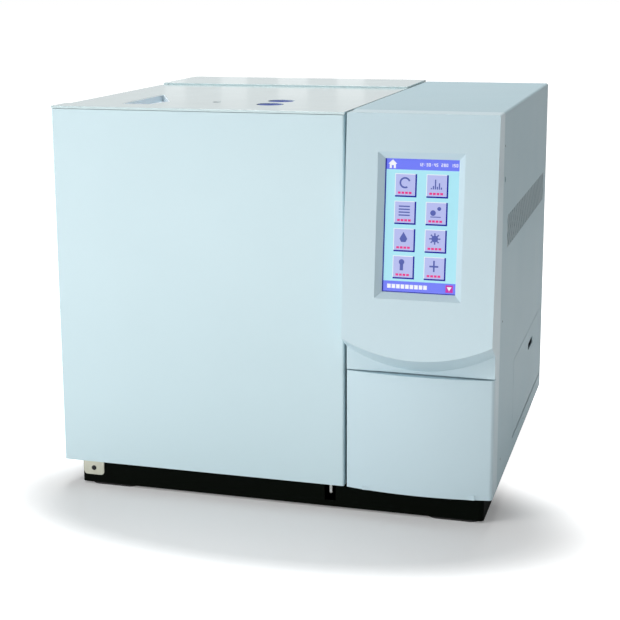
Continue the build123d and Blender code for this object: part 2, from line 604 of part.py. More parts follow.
baffle_y = fan_f - 8.0
BAFFLE_T = 1.2
BAFFLE_EDGE = 4.0
with BuildPart() as oven_baffle:
    block(mouth_l + BAFFLE_EDGE, mouth_r - BAFFLE_EDGE, baffle_y - BAFFLE_T, baffle_y,
          mouth_b + BAFFLE_EDGE, mouth_t - BAFFLE_EDGE)
    with BuildSketch(front_plane(baffle_y)):
        with Locations((mouth_x, mouth_z)):
            with GridLocations(MOUTH_W - 28, MOUTH_H - 28, 2, 2):
                Circle(4)
    extrude(amount=baffle_y - cavity_back)
    with BuildSketch(front_plane(baffle_y + 1)):
        with Locations((mouth_x, mouth_z)):
            for ring, count in ((12, 6), (26, 12), (40, 18)):
                with PolarLocations(ring, count):
                    Circle(4)
            Circle(3)
            with PolarLocations(112, 24):
                Circle(6)
    extrude(amount=BAFFLE_T + 2, mode=Mode.SUBTRACT)
    rod_y(PROBE_R + 1, probe_x, baffle_y - BAFFLE_T - 1, baffle_y + 1, probe_z, Mode.SUBTRACT)
save(oven_baffle, "oven_baffle")

with BuildPart() as temperature_probe:
    rod_y(PROBE_R, probe_x, baffle_y - 40, shell_back + 14, probe_z)
    rod_y(4, probe_x, shell_back, shell_back + 8, probe_z)
save(temperature_probe, "temperature_probe")

BASKET_R = 78.0
WIRE_R = 1.5
BAR_R = 2.2
COIL_R = 3.5
basket_y0 = oven_f + 40.0
basket_y1 = oven_f + 100.0
coil_y = (basket_y0 + basket_y1) / 2
with BuildPart() as column_basket:
    for y in (basket_y0, basket_y1):
        with Locations(Location((mouth_x, y, mouth_z), (90, 0, 0))):
            Torus(BASKET_R, WIRE_R)
    with BuildSketch(front_plane(baffle_y - BAFFLE_T)):
        with Locations((mouth_x, mouth_z)):
            with PolarLocations(BASKET_R, 4, start_angle=45):
                Circle(BAR_R)
    extrude(amount=baffle_y - BAFFLE_T - basket_y0 + 2 * BAR_R)
save(column_basket, "column_basket")

NUT_H = 9.0
NUT_R = 6.5
COLUMN_R = 0.6
tube_end = mouth_t - 14.0
coil_major = BASKET_R + BAR_R + COIL_R + 0.2
inj_y = injector_ys[0]
with BuildPart() as capillary_column:
    with Locations(Location((mouth_x, coil_y, mouth_z), (90, 0, 0))):
        Torus(coil_major, COIL_R)
    for x, y, start in ((injector_x, inj_y, 50.0), (detector_x, detector_y, 112.0)):
        turn = radians(start)
        lead_r = coil_major + COIL_R + GAP
        with BuildLine() as lead:
            FilletPolyline((mouth_x + lead_r * cos(turn), coil_y, mouth_z + lead_r * sin(turn)),
                           (x, y, tube_end - NUT_H - 12), (x, y, tube_end - 2), radius=8)
        with BuildSketch(Plane(origin=lead.line @ 0, z_dir=lead.line % 0)):
            Circle(COLUMN_R)
        sweep(path=lead.line)
save(capillary_column, "capillary_column")

with BuildPart() as column_nuts:
    for x, y in ((injector_x, injector_ys[0]), (injector_x, injector_ys[1]), (detector_x, detector_y)):
        with BuildSketch(Plane.XY.offset(tube_end - NUT_H)):
            with Locations((x, y)):
                RegularPolygon(NUT_R, 6)
                Circle(COLUMN_R + 0.2, mode=Mode.SUBTRACT)
        extrude(amount=NUT_H)
save(column_nuts, "column_nuts")

SEPTUM_H = 20.0
SEPTUM_BELOW = 4.0
BLOCK_H = 38.0
septum_z = top - SEPTUM_BELOW - SEPTUM_H
with BuildPart() as injectors:
    for y in injector_ys:
        rod_z(TUBE_R, injector_x, y, tube_end, shell_top + 4)
        rod_z(INJECTOR_R, injector_x, y, shell_top, septum_z)
        rod_z(1.0, injector_x, y, tube_end - 1, septum_z + 1, Mode.SUBTRACT)
save(injectors, "injectors")

with BuildPart() as injector_block:
    block(injector_x - 22, injector_x + 22, injector_ys[0] - 20, injector_ys[1] + 20, shell_top, shell_top + BLOCK_H)
    fillet(injector_block.edges().filter_by(Axis.Z), 4)
    for y in injector_ys:
        rod_z(INJECTOR_R, injector_x, y, shell_top - 1, shell_top + BLOCK_H + 1, Mode.SUBTRACT)
save(injector_block, "injector_block")

with BuildPart() as septum_nuts:
    for y in injector_ys:
        rod_z(SEPTUM_R, injector_x, y, septum_z, septum_z + SEPTUM_H)
    fillet(septum_nuts.edges().group_by(Axis.Z)[-1], 2)
    for y in injector_ys:
        rod_z(2.0, injector_x, y, septum_z + SEPTUM_H - 6, septum_z + SEPTUM_H + 1, Mode.SUBTRACT)
save(septum_nuts, "septum_nuts")

stack_top = top - LID_T - 2
body_z = shell_top + 0.27 * (stack_top - shell_top)
neck_z = shell_top + 0.72 * (stack_top - shell_top)
vent_z = shell_top + 0.83 * (stack_top - shell_top)
with BuildPart() as detector:
    rod_z(DETECTOR_TUBE_R, detector_x, detector_y, tube_end, shell_top + 2)
    block(detector_x - 18, detector_x + 18, detector_y - 20, detector_y + 20, shell_top, body_z)
    rod_z(14, detector_x, detector_y, body_z - 1, neck_z)
    rod_z(10, detector_x, detector_y, neck_z - 1, vent_z)
    rod_z(VENT_HOLE_R - 1, detector_x, detector_y, vent_z - 1, stack_top)
    rod_z(VENT_HOLE_R - 2.5, detector_x, detector_y, neck_z + 5, top, Mode.SUBTRACT)
save(detector, "detector")

# ==== control unit =====================================================================
BEZEL_T = 3.0
end_x = unit_x - unit_l
reach = SLOPE_MAX / SLOPE_OUT
slope_end_drop = FASCIA_END_DROP - (FASCIA_END_DROP - SLOPE_END_DROP) * reach
control_plane = Plane(origin=(unit_x, front, top), x_dir=(1, 0, 0), z_dir=(0, -cos(slope), sin(slope)))
WELL_H = 258.0             # depth of the hollow behind the control face


def bezel_outline(end_drop, mid_drop):
    """Straight sides and top, with an arc as the lower edge."""
    with BuildLine() as outline:
        Polyline((unit_l, top - end_drop), (unit_l, top), (right, top), (right, top - end_drop))
        ThreePointArc((right, top - end_drop), (unit_x, top - mid_drop), (unit_l, top - end_drop))
    make_face(outline.edges())


def slope_y(drop):
    """Where the control face lies at a given drop below the top."""
    return front - SLOPE_OUT * drop / SLOPE_END_DROP


with BuildPart() as control_bezel:
    with BuildSketch(front_plane(front)):
        bezel_outline(FASCIA_END_DROP, FASCIA_MID_DROP)
    with BuildSketch(front_plane(front - SLOPE_MAX)):
        bezel_outline(slope_end_drop, SLOPE_MID_DROP)
    loft(ruled=True)
    block(unit_l, right, front, mould_y, seam_z, top)
    with BuildSketch(side_plane(unit_l - 1)):
        with BuildLine():
            Polyline((slope_y(-20), top + 20), (slope_y(SLOPE_MID_DROP + 30), top - SLOPE_MID_DROP - 30),
                     (front - 90, top - SLOPE_MID_DROP - 30), (front - 90, top + 20), close=True)
        make_face()
    extrude(amount=WIDTH, mode=Mode.SUBTRACT)
    fillet(control_bezel.edges().filter_by(Axis.Y).group_by(Axis.Z)[-1], 2)
    with BuildSketch(side_plane(unit_l + BEZEL_T)):
        with BuildLine():
            Polyline((mould_y + 1, top - BEZEL_T), (front + BEZEL_T, top - BEZEL_T),
                     (slope_y(WELL_H) + BEZEL_T, top - WELL_H), (front + BEZEL_T, top - WELL_H - 4),
                     (front + BEZEL_T, seam_z + BEZEL_T), (mould_y + 1, seam_z + BEZEL_T), close=True)
        make_face()
    extrude(amount=right - unit_l - 2 * BEZEL_T, mode=Mode.SUBTRACT)
    # thick frame around the display, its sloping sides and the window
    with BuildSketch(control_plane.offset(-1)):
        with Locations((0, -SCREEN_DROP)):
            Rectangle(SCREEN_W + 2 * SCREEN_BEVEL + 10, SCREEN_H + 2 * SCREEN_BEVEL + 10)
    extrude(amount=-SCREEN_DEPTH - 1.5)
    with BuildSketch(control_plane):
        with Locations((0, -SCREEN_DROP)):
            Rectangle(SCREEN_W + 2 * SCREEN_BEVEL, SCREEN_H + 2 * SCREEN_BEVEL)
    with BuildSketch(control_plane.offset(-SCREEN_DEPTH)):
        with Locations((0, -SCREEN_DROP)):
            Rectangle(SCREEN_W, SCREEN_H)
    loft(mode=Mode.SUBTRACT)
    with BuildSketch(control_plane.offset(1)):
        with Locations((0, -SCREEN_DROP)):
            Rectangle(SCREEN_W, SCREEN_H)
    extrude(amount=-SCREEN_DEPTH - 10, mode=Mode.SUBTRACT)
save(control_bezel, "control_bezel")

GLASS_T = 2.0
GLASS_EDGE = 4.0
MODULE_T = 12.0
glass_at = -SCREEN_DEPTH - 2.5
with BuildPart() as display_glass:
    with BuildSketch(control_plane.offset(glass_at)):
        with Locations((0, -SCREEN_DROP)):
            Rectangle(SCREEN_W + 2 * GLASS_EDGE, SCREEN_H + 2 * GLASS_EDGE)
    extrude(amount=-GLASS_T)
save(display_glass, "display_glass")

with BuildPart() as display_module:
    with BuildSketch(control_plane.offset(glass_at - GLASS_T)):
        with Locations((0, -SCREEN_DROP)):
            Rectangle(SCREEN_W + 2 * GLASS_EDGE, SCREEN_H + 2 * GLASS_EDGE + 6)
    extrude(amount=-MODULE_T)
save(display_module, "display_module")

dial_xs = [unit_x + DIAL_PITCH * i for i in (-1, 0, 1)]
gauge_z = bottom + 100.0
knob_z = bottom + 42.0
STEM_R = 3.0
GAUGE_STEM_R = 5.0
with BuildPart() as control_chassis:
    block(wall_x + SHEET, right - SHEET, mould_y, mould_y + SHEET, bottom + SHEET, top - SHEET)
    for x in dial_xs:
        rod_y(GAUGE_STEM_R, x, mould_y - 1, mould_y + SHEET + 1, gauge_z, Mode.SUBTRACT)
        rod_y(STEM_R + 1, x, mould_y - 1, mould_y + SHEET + 1, knob_z, Mode.SUBTRACT)
save(control_chassis, "control_chassis")

bay_f = front + 10.0
flow_axis_y = front + 3.0
flow_axis_z = bottom + 3.0
EAR_X = 60.0
EAR_T = 8.0
FLOW_KNUCKLE_R = 2.5
FLOW_PIN_R = 1.2
PIN_SPAN = 14.0
ear_xs = (unit_x - EAR_X, unit_x + EAR_X)
with BuildPart() as flow_bay_frame:
    block(unit_l, right, bay_f, mould_y, bottom, seam_z)
    block(unit_l + BEZEL_T, right - BEZEL_T, bay_f - 1, mould_y + 1, bottom + BEZEL_T, seam_z + 1, Mode.SUBTRACT)
    block(right - FLANGE, right + 1, mould_y - 0.01, mould_y + 1, bottom, bottom + SHEET, Mode.SUBTRACT)
    for x in ear_xs:
        rod_x(FLOW_KNUCKLE_R, x - EAR_T / 2, x + EAR_T / 2, flow_axis_y, flow_axis_z)
        block(x - EAR_T / 2, x + EAR_T / 2, flow_axis_y, bay_f + 1, bottom + 0.5, flow_axis_z)
        rod_x(FLOW_PIN_R, x - EAR_T, x + EAR_T, flow_axis_y, flow_axis_z, Mode.SUBTRACT)
save(flow_bay_frame, "flow_bay_frame")


def flow_outline(inset):
    """Plan shape of the flow door, with its bowed front."""
    with BuildLine() as outline:
        Polyline((unit_l + inset, front), (unit_l + inset, bay_f - 1.5), (right - inset, bay_f - 1.5),
                 (right - inset, front))
        ThreePointArc((right - inset, front), (unit_x, front - PANEL_BULGE + inset), (unit_l + inset, front))
    make_face(outline.edges())


with BuildPart() as flow_door:
    with BuildSketch(Plane.XY.offset(bottom)):
        flow_outline(0)
    extrude(amount=PANEL_H)
    fillet(flow_door.edges().filter_by(Axis.Z).group_by(Axis.Y)[0].sort_by(Axis.X)[-1], 5)
    fillet(flow_door.edges().filter_by(Axis.Z).group_by(Axis.X)[0].sort_by(Axis.Y)[0], 1.5)
    with BuildSketch(Plane.XY.offset(bottom + PANEL_WALL)):
        flow_outline(PANEL_WALL)
    extrude(amount=PANEL_H - 2 * PANEL_WALL, mode=Mode.SUBTRACT)
    block(unit_l + PANEL_WALL, right - PANEL_WALL, front + 1, bay_f, bottom + PANEL_WALL,
          panel_top - PANEL_WALL, Mode.SUBTRACT)
    for x in ear_xs:
        block(x - EAR_T, x + EAR_T, front - 5, flow_axis_y, bottom, flow_axis_z + FLOW_KNUCKLE_R)
        rod_x(FLOW_KNUCKLE_R, x - EAR_T, x + EAR_T, flow_axis_y, flow_axis_z)
        block(x - EAR_T / 2 - 0.5, x + EAR_T / 2 + 0.5, front - 0.2, bay_f, bottom - 1,
              flow_axis_z + FLOW_KNUCKLE_R + 1, Mode.SUBTRACT)
        rod_x(FLOW_PIN_R + RUN, x - EAR_T - 1, x + EAR_T + 1, flow_axis_y, flow_axis_z, Mode.SUBTRACT)
save(flow_door, "flow_door")

with BuildPart() as hinge_pins:
    # the lid's pins and the flow door's pins
    rod_x(LID_PIN_R, ear_l, bead_l + PIN_SPAN, pin_y, pin_z)
    rod_x(LID_PIN_R, bead_r - PIN_SPAN, strip_r, pin_y, pin_z)
    for x in ear_xs:
        rod_x(FLOW_PIN_R, x - EAR_T, x + EAR_T, flow_axis_y, flow_axis_z)
save(hinge_pins, "hinge_pins")

with BuildPart() as pressure_gauges:
    for x in dial_xs:
        rod_y(GAUGE_R, x, mould_y - GAUGE_D, mould_y, gauge_z)
        rod_y(GAUGE_STEM_R, x, mould_y, mould_y + 12, gauge_z)
        rod_y(GAUGE_R - 2, x, mould_y - GAUGE_D - 1, mould_y - GAUGE_D + 2, gauge_z, Mode.SUBTRACT)
save(pressure_gauges, "pressure_gauges")

KNOB_GAP = 1.0
STEM_IN = 12.0
REGULATOR_L = 45.0
for index, x in enumerate(dial_xs):
    with BuildPart() as knob:
        with BuildSketch(front_plane(mould_y - KNOB_GAP)):
            with Locations((x, knob_z)):
                Circle(KNOB_R)
                with PolarLocations(KNOB_R, 18):
                    Circle(0.9, mode=Mode.SUBTRACT)
        extrude(amount=KNOB_D)
        chamfer(knob.faces().sort_by(Axis.Y)[0].edges(), 0.6)
        rod_y(STEM_R, x, mould_y - KNOB_GAP, mould_y + SHEET + STEM_IN, knob_z)
    save(knob, f"knob_{index + 1}")

regulator_back = mould_y + SHEET + REGULATOR_L
with BuildPart() as regulators:
    for x in dial_xs:
        rod_y(14, x, mould_y + SHEET, regulator_back, knob_z)
        rod_y(STEM_R + RUN, x, mould_y, mould_y + SHEET + STEM_IN + 1, knob_z, Mode.SUBTRACT)
save(regulators, "regulators")

STUB_IN = 12.0
with BuildPart() as gas_inlets:
    for x in stub_xs:
        rod_y(FITTING_R + 1, x, rear_in - STUB_IN, back, stub_z)
        rod_y(FITTING_R, x, back, back + FITTING_OUT, stub_z)
        with BuildSketch(front_plane(back + 6)):
            with Locations((x, stub_z)):
                RegularPolygon(7, 6)
        extrude(amount=6)
save(gas_inlets, "gas_inlets")

TUBE_LINE_R = 1.6
line_back = rear_in - 46.0
with BuildPart() as gas_lines:
    for dial_x, stub_x in zip(dial_xs, stub_xs):
        with BuildLine() as tube_path:
            FilletPolyline((dial_x, regulator_back, knob_z), (dial_x, regulator_back + 40, knob_z),
                           (stub_x, regulator_back + 110, knob_z), (stub_x, line_back, knob_z),
                           (stub_x, line_back, stub_z), (stub_x, rear_in - STUB_IN, stub_z), radius=14)
        with BuildSketch(Plane(origin=tube_path.line @ 0, z_dir=tube_path.line % 0)):
            Circle(TUBE_LINE_R)
        sweep(path=tube_path.line)
save(gas_lines, "gas_lines")

# ==== electronics ======================================================================
board_x = wall_x + SHEET + 6.0
board_y = (mould_y + 90, mould_y + 330)
board_z = (bottom + 170, bottom + 410)
with BuildPart() as main_board:
    block(board_x, board_x + BOARD_T, *board_y, *board_z)
    for y in (board_y[0] + 10, board_y[1] - 10):
        for z in (board_z[0] + 10, board_z[1] - 10):
            rod_x(3, wall_x + SHEET, board_x, y, z)
    chips = ((50, 60, 30, 30, 4), (120, 80, 40, 24, 4), (180, 60, 24, 50, 22), (60, 170, 20, 60, 14),
             (130, 180, 50, 30, 6), (200, 180, 30, 30, 18))
    for y, z, w, h, t in chips:
        block(board_x + BOARD_T, board_x + BOARD_T + t, board_y[0] + y - w / 2, board_y[0] + y + w / 2,
              board_z[0] + z - h / 2, board_z[0] + z + h / 2)
save(main_board, "main_board")

SUPPLY_L = 180.0
SUPPLY_BACK = 56.5
supply_r = right - 14.0
supply_y = (rear_in - SUPPLY_BACK - SUPPLY_L, rear_in - SUPPLY_BACK)
floor_z = bottom + 2 * SHEET
with BuildPart() as power_supply:
    block(supply_r - 62, supply_r, *supply_y, floor_z, floor_z + 52)
    with BuildSketch(Plane.XY.offset(floor_z + 53)):
        with Locations((supply_r - 31, sum(supply_y) / 2)):
            with GridLocations(9, 14, 5, 10):
                Circle(2.4)
    extrude(amount=-3, mode=Mode.SUBTRACT)
save(power_supply, "power_supply")

INLET_D = 22.0
SOCKET_W = 24.0
SOCKET_H = 16.0
socket_z = inlet_z - 12.0
rocker_z = inlet_z + 12.0
ROCKER_R = 8.4
WELL_R = 9.0
rocker_y = back - 4.0
with BuildPart() as power_inlet:
    block(inlet_x - INLET_W / 2, inlet_x + INLET_W / 2, rear_in - INLET_D, back, inlet_z - INLET_H / 2,
          inlet_z + INLET_H / 2)
    block(inlet_x - INLET_W / 2 - 4, inlet_x + INLET_W / 2 + 4, back, back + 2, inlet_z - INLET_H / 2 - 6,
          inlet_z + INLET_H / 2 + 6)
    block(inlet_x - SOCKET_W / 2, inlet_x + SOCKET_W / 2, back - 16, back + 3, socket_z - SOCKET_H / 2,
          socket_z + SOCKET_H / 2, Mode.SUBTRACT)
    for dx, dz in ((-7, -2), (0, 2), (7, -2)):
        block(inlet_x + dx - 1, inlet_x + dx + 1, back - 17, back - 6, socket_z + dz - 2, socket_z + dz + 2)
    rod_x(WELL_R, inlet_x - 8, inlet_x + 8, rocker_y, rocker_z, Mode.SUBTRACT)
    block(inlet_x - 8, inlet_x + 8, rocker_y, back + 3, rocker_z - WELL_R, rocker_z + WELL_R, Mode.SUBTRACT)
    rod_x(SMALL_PIN_R + RUN, inlet_x - 11, inlet_x + 11, rocker_y, rocker_z, Mode.SUBTRACT)
save(power_inlet, "power_inlet")

with BuildPart() as power_rocker:
    rod_x(ROCKER_R, inlet_x - 7.5, inlet_x + 7.5, rocker_y, rocker_z)
    with BuildSketch(side_plane(inlet_x - 9)):
        with BuildLine():
            Polyline((rocker_y + 4.5, rocker_z - 10), (rocker_y + 4.5, rocker_z), (rocker_y + 9, rocker_z + 10),
                     (rocker_y + 12, rocker_z + 10), (rocker_y + 12, rocker_z - 10), close=True)
        make_face()
    extrude(amount=18, mode=Mode.SUBTRACT)
    rod_x(SMALL_PIN_R, inlet_x - 10.5, inlet_x + 10.5, rocker_y, rocker_z)
save(power_rocker, "power_rocker")

CASE_FAN_W = 84.0
CASE_FAN_D = 25.0
SPINDLE_R = 2.0
GUARD_R = 0.9
fan_in = rear_in - CASE_FAN_D
with BuildPart() as case_fan:
    block(fan_x - CASE_FAN_W / 2, fan_x + CASE_FAN_W / 2, fan_in, rear_in, fan_z - CASE_FAN_W / 2,
          fan_z + CASE_FAN_W / 2)
    rod_y(CASE_FAN_R, fan_x, fan_in - 1, rear_in + 1, fan_z, Mode.SUBTRACT)
    rod_y(15, fan_x, fan_in, fan_in + 3, fan_z)
    with BuildSketch(front_plane(fan_in + 3)):
        with Locations((fan_x, fan_z)):
            with PolarLocations(CASE_FAN_R / 2 + 6, 3):
                Rectangle(CASE_FAN_R, 4)
    extrude(amount=3)
    rod_y(SPINDLE_R, fan_x, fan_in, rear_in - 6, fan_z)
    # wire guard on the outside of the rear panel
    for ring in (CASE_FAN_R + 1, CASE_FAN_R * 0.68, CASE_FAN_R * 0.36):
        with Locations(Location((fan_x, back + GUARD_R, fan_z), (90, 0, 0))):
            Torus(ring, GUARD_R)
    for turn in (45, 135):
        with BuildSketch(front_plane(back + 2 * GUARD_R)):
            with Locations((fan_x, fan_z)):
                Rectangle(2 * CASE_FAN_R + 3, 1.6, rotation=turn)
        extrude(amount=1.2)
save(case_fan, "case_fan")

with BuildPart() as case_fan_rotor:
    rod_y(15, fan_x, fan_in + 4, rear_in - 4, fan_z)
    with BuildSketch(front_plane(rear_in - 5)):
        with Locations((fan_x, fan_z)):
            with PolarLocations(25, 7):
                Rectangle(22, 3.0, rotation=20)
    extrude(amount=CASE_FAN_D - 10)
    rod_y(SPINDLE_R + RUN, fan_x, fan_in + 3, rear_in - 5, fan_z, Mode.SUBTRACT)
save(case_fan_rotor, "case_fan_rotor")

# ==== service cover ====================================================================
axis_x = right - 4.0
axis_z = cover_z0 + 4.0
COVER_EAR = 8.0
COVER_PIN_R = 1.3
FINGER_L = 51.0
FINGER_H = 10.0
FINGER_Y = 178.5           # from the cover's front end to the finger hole's middle
FINGER_UP = 79.0
ear_ys = (cover_y0 + 40, cover_y1 - 40)
with BuildPart() as service_cover:
    block(right - SHEET, right, cover_y0, cover_y1, cover_z0, cover_z1)
    for y in ear_ys:
        rod_y(KNUCKLE_R, axis_x, y - 1.5 * COVER_EAR, y + 1.5 * COVER_EAR, axis_z)
        block(axis_x - 4.2, axis_x + 2.4, y - COVER_EAR / 2 - 0.5, y + COVER_EAR / 2 + 0.5,
              axis_z - 4, axis_z + 4, Mode.SUBTRACT)
        rod_y(COVER_PIN_R + RUN, axis_x, y - 2 * COVER_EAR, y + 2 * COVER_EAR, axis_z, Mode.SUBTRACT)
    with BuildSketch(side_plane(right + 1)):
        with Locations((cover_y0 + FINGER_Y, cover_z0 + FINGER_UP)):
            SlotOverall(FINGER_L, FINGER_H)
    extrude(amount=-SHEET - 2, mode=Mode.SUBTRACT)
save(service_cover, "service_cover")

with BuildPart() as cover_hinges:
    for y in ear_ys:
        y0 = y - COVER_EAR / 2
        y1 = y + COVER_EAR / 2
        rod_y(2.2, axis_x, y0, y1, axis_z)
        block(axis_x - 8, axis_x, y0, y1, axis_z - 1.5, axis_z + 2.2)
        block(axis_x - 10, axis_x - 6.6, y0, y1, axis_z - 16, axis_z + 2.2)
        block(axis_x - 10, right - SHEET, y0, y1, axis_z - 16, axis_z - 9)
        rod_y(COVER_PIN_R, axis_x, y - 1.5 * COVER_EAR, y + 1.5 * COVER_EAR, axis_z)
save(cover_hinges, "cover_hinges")

with BuildPart() as cover_screws:
    for y, z in SIDE_SCREWS:
        rod_x(SCREW_R, right - SHEET - 5, right, front + y, bottom + z)
    screw_x = plate_l + PLATE_L / 2
    rod_y(SCREW_R, screw_x, base_f - BRACKET_T, base_f, bottom - SCREW_DROP)
    rod_y(SCREW_HEAD_R, screw_x, base_f - BRACKET_T - SCREW_HEAD_T, base_f - BRACKET_T, bottom - SCREW_DROP)
save(cover_screws, "cover_screws")
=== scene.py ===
from math import atan2, cos, pi, radians, sin

import bmesh
import bpy
from mathutils import Matrix, Vector


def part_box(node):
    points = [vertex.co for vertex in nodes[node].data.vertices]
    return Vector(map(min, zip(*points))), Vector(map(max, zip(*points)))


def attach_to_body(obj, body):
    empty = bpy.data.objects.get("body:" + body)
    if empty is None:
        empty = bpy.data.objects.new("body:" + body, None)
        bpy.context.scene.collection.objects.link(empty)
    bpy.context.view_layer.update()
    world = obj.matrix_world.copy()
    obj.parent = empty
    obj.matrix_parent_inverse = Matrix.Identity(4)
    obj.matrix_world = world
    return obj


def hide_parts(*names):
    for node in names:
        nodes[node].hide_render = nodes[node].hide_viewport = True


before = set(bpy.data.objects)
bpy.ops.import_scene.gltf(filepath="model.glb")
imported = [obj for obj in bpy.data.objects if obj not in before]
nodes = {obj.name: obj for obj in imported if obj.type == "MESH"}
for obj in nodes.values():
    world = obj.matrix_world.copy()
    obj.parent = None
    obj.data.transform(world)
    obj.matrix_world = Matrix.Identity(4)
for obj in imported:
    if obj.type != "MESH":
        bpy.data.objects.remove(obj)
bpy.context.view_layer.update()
MM = 0.001

# ---- sizes taken from the frame -----------------------------------------------------------
bezel_lo, bezel_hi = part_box("control_bezel")
LEFT, FRONT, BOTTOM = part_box("door_skin")[0]
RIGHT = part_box("right_cover")[1].x
TOP = bezel_hi.z
CHASSIS_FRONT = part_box("control_chassis")[0].y
SLOPE = atan2(27.5, 261.0)             # lean of the control face
SCREEN_W = 85.9 * MM
SCREEN_H = 154.1 * MM
SCREEN_DROP = 128.4 * MM
GLASS_IN = 8.5 * MM                    # glass behind the control face

# ---- small helpers ------------------------------------------------------------------------


def linked(name, data):
    """A new object at the origin, linked to the scene."""
    thing = bpy.data.objects.new(name, data)
    bpy.context.scene.collection.objects.link(thing)
    return thing


def bmesh_object(name, bm):
    """Turn a bmesh into an object with its faces all turned outwards."""
    mesh = bpy.data.meshes.new(name)
    bmesh.ops.recalc_face_normals(bm, faces=bm.faces)
    bm.to_mesh(mesh)
    bm.free()
    return linked(name, mesh)


def attach(piece, body):
    """Say which body the piece rides on."""
    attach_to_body(piece, body)
    return piece


def mesh_object(name, bm, material, body):
    """Turn a bmesh into a finished flat-shaded piece on a body."""
    piece = bmesh_object(name, bm)
    piece.data.materials.append(material)
    return attach(piece, body)


def add_prism(bm, outline, axis_u, axis_v, axis_n, origin, depth):
    """A straight prism: a flat outline in u and v, pushed along n by depth."""
    lower = [bm.verts.new(origin + axis_u * u + axis_v * v) for u, v in outline]
    upper = [bm.verts.new(vert.co + axis_n * depth) for vert in lower]
    bm.faces.new(lower)
    bm.faces.new(list(reversed(upper)))
    count = len(lower)
    for i in range(count):
        bm.faces.new((lower[i], upper[i], upper[(i + 1) % count], lower[(i + 1) % count]))


def circle(radius, count, centre=(0.0, 0.0)):
    return [(centre[0] + radius * cos(2 * pi * i / count), centre[1] + radius * sin(2 * pi * i / count))
            for i in range(count)]


def rectangle(u0, u1, v0, v1):
    return [(u0, v0), (u1, v0), (u1, v1), (u0, v1)]


# ---- shader groups ------------------------------------------------------------------------


def new_group(name, inputs, outputs):
    """An empty shader node group with named float or colour sockets."""
    group = bpy.data.node_groups.new(name, "ShaderNodeTree")
    for label, kind, value in inputs:
        socket = group.interface.new_socket(name=label, in_out="INPUT", socket_type=kind)
        socket.default_value = value
    for label, kind in outputs:
        group.interface.new_socket(name=label, in_out="OUTPUT", socket_type=kind)
    return group, group.nodes.new("NodeGroupInput"), group.nodes.new("NodeGroupOutput")


def math_node(tree, operation, a, b=None, c=None):
    node = tree.nodes.new("ShaderNodeMath")
    node.operation = operation
    for index, value in enumerate((a, b, c)):
        if value is None:
            continue
        if isinstance(value, (int, float)):
            node.inputs[index].default_value = value
        else:
            tree.links.new(value, node.inputs[index])
    return node.outputs[0]


def make_moulded_grain():
    """Fine pebbled surface of powder coat and moulded plastic: a height and a roughness."""
    group, gin, gout = new_group(
        "moulded_grain",
        [("Grain Size", "NodeSocketFloat", 900.0), ("Depth", "NodeSocketFloat", 0.3),
         ("Roughness", "NodeSocketFloat", 0.4)],
        [("Height", "NodeSocketFloat"), ("Roughness", "NodeSocketFloat")])
    coordinates = group.nodes.new("ShaderNodeTexCoord")
    fine = group.nodes.new("ShaderNodeTexNoise")
    fine.inputs["Detail"].default_value = 3.0
    broad = group.nodes.new("ShaderNodeTexNoise")
    broad.inputs["Scale"].default_value = 9.0
    broad.inputs["Detail"].default_value = 4.0
    group.links.new(coordinates.outputs["Object"], fine.inputs["Vector"])
    group.links.new(coordinates.outputs["Object"], broad.inputs["Vector"])
    group.links.new(gin.outputs["Grain Size"], fine.inputs["Scale"])
    height = math_node(group, "MULTIPLY", fine.outputs["Fac"], gin.outputs["Depth"])
    uneven = math_node(group, "MULTIPLY_ADD", broad.outputs["Fac"], 0.16, -0.08)
    roughness = math_node(group, "ADD", gin.outputs["Roughness"], uneven)
    group.links.new(height, gout.inputs["Height"])
    group.links.new(roughness, gout.inputs["Roughness"])
    return group


def make_soiling():
    """Slight unevenness of colour, with a little dust on faces that look up."""
    group, gin, gout = new_group(
        "soiling",
        [("Colour", "NodeSocketColor", (0.8, 0.8, 0.8, 1.0)), ("Amount", "NodeSocketFloat", 0.05),
         ("Dust", "NodeSocketFloat", 0.04)],
        [("Colour", "NodeSocketColor")])
    coordinates = group.nodes.new("ShaderNodeTexCoord")
    cloud = group.nodes.new("ShaderNodeTexNoise")
    cloud.inputs["Scale"].default_value = 6.0
    cloud.inputs["Detail"].default_value = 6.0
    specks = group.nodes.new("ShaderNodeTexNoise")
    specks.inputs["Scale"].default_value = 340.0
    geometry = group.nodes.new("ShaderNodeNewGeometry")
    split = group.nodes.new("ShaderNodeSeparateXYZ")
    group.links.new(coordinates.outputs["Object"], cloud.inputs["Vector"])
    group.links.new(coordinates.outputs["Object"], specks.inputs["Vector"])
    group.links.new(geometry.outputs["Normal"], split.inputs["Vector"])
    upward = math_node(group, "MAXIMUM", split.outputs["Z"], 0.0)
    speckle = math_node(group, "GREATER_THAN", specks.outputs["Fac"], 0.62)
    dust = math_node(group, "MULTIPLY", math_node(group, "MULTIPLY", upward, speckle), gin.outputs["Dust"])
    shade = math_node(group, "MULTIPLY", math_node(group, "SUBTRACT", cloud.outputs["Fac"], 0.5),
                      gin.outputs["Amount"])
    value = math_node(group, "ADD", math_node(group, "ADD", 1.0, shade), dust)
    tint = group.nodes.new("ShaderNodeVectorMath")
    tint.operation = "SCALE"
    group.links.new(gin.outputs["Colour"], tint.inputs[0])
    group.links.new(value, tint.inputs["Scale"])
    group.links.new(tint.outputs["Vector"], gout.inputs["Colour"])
    return group


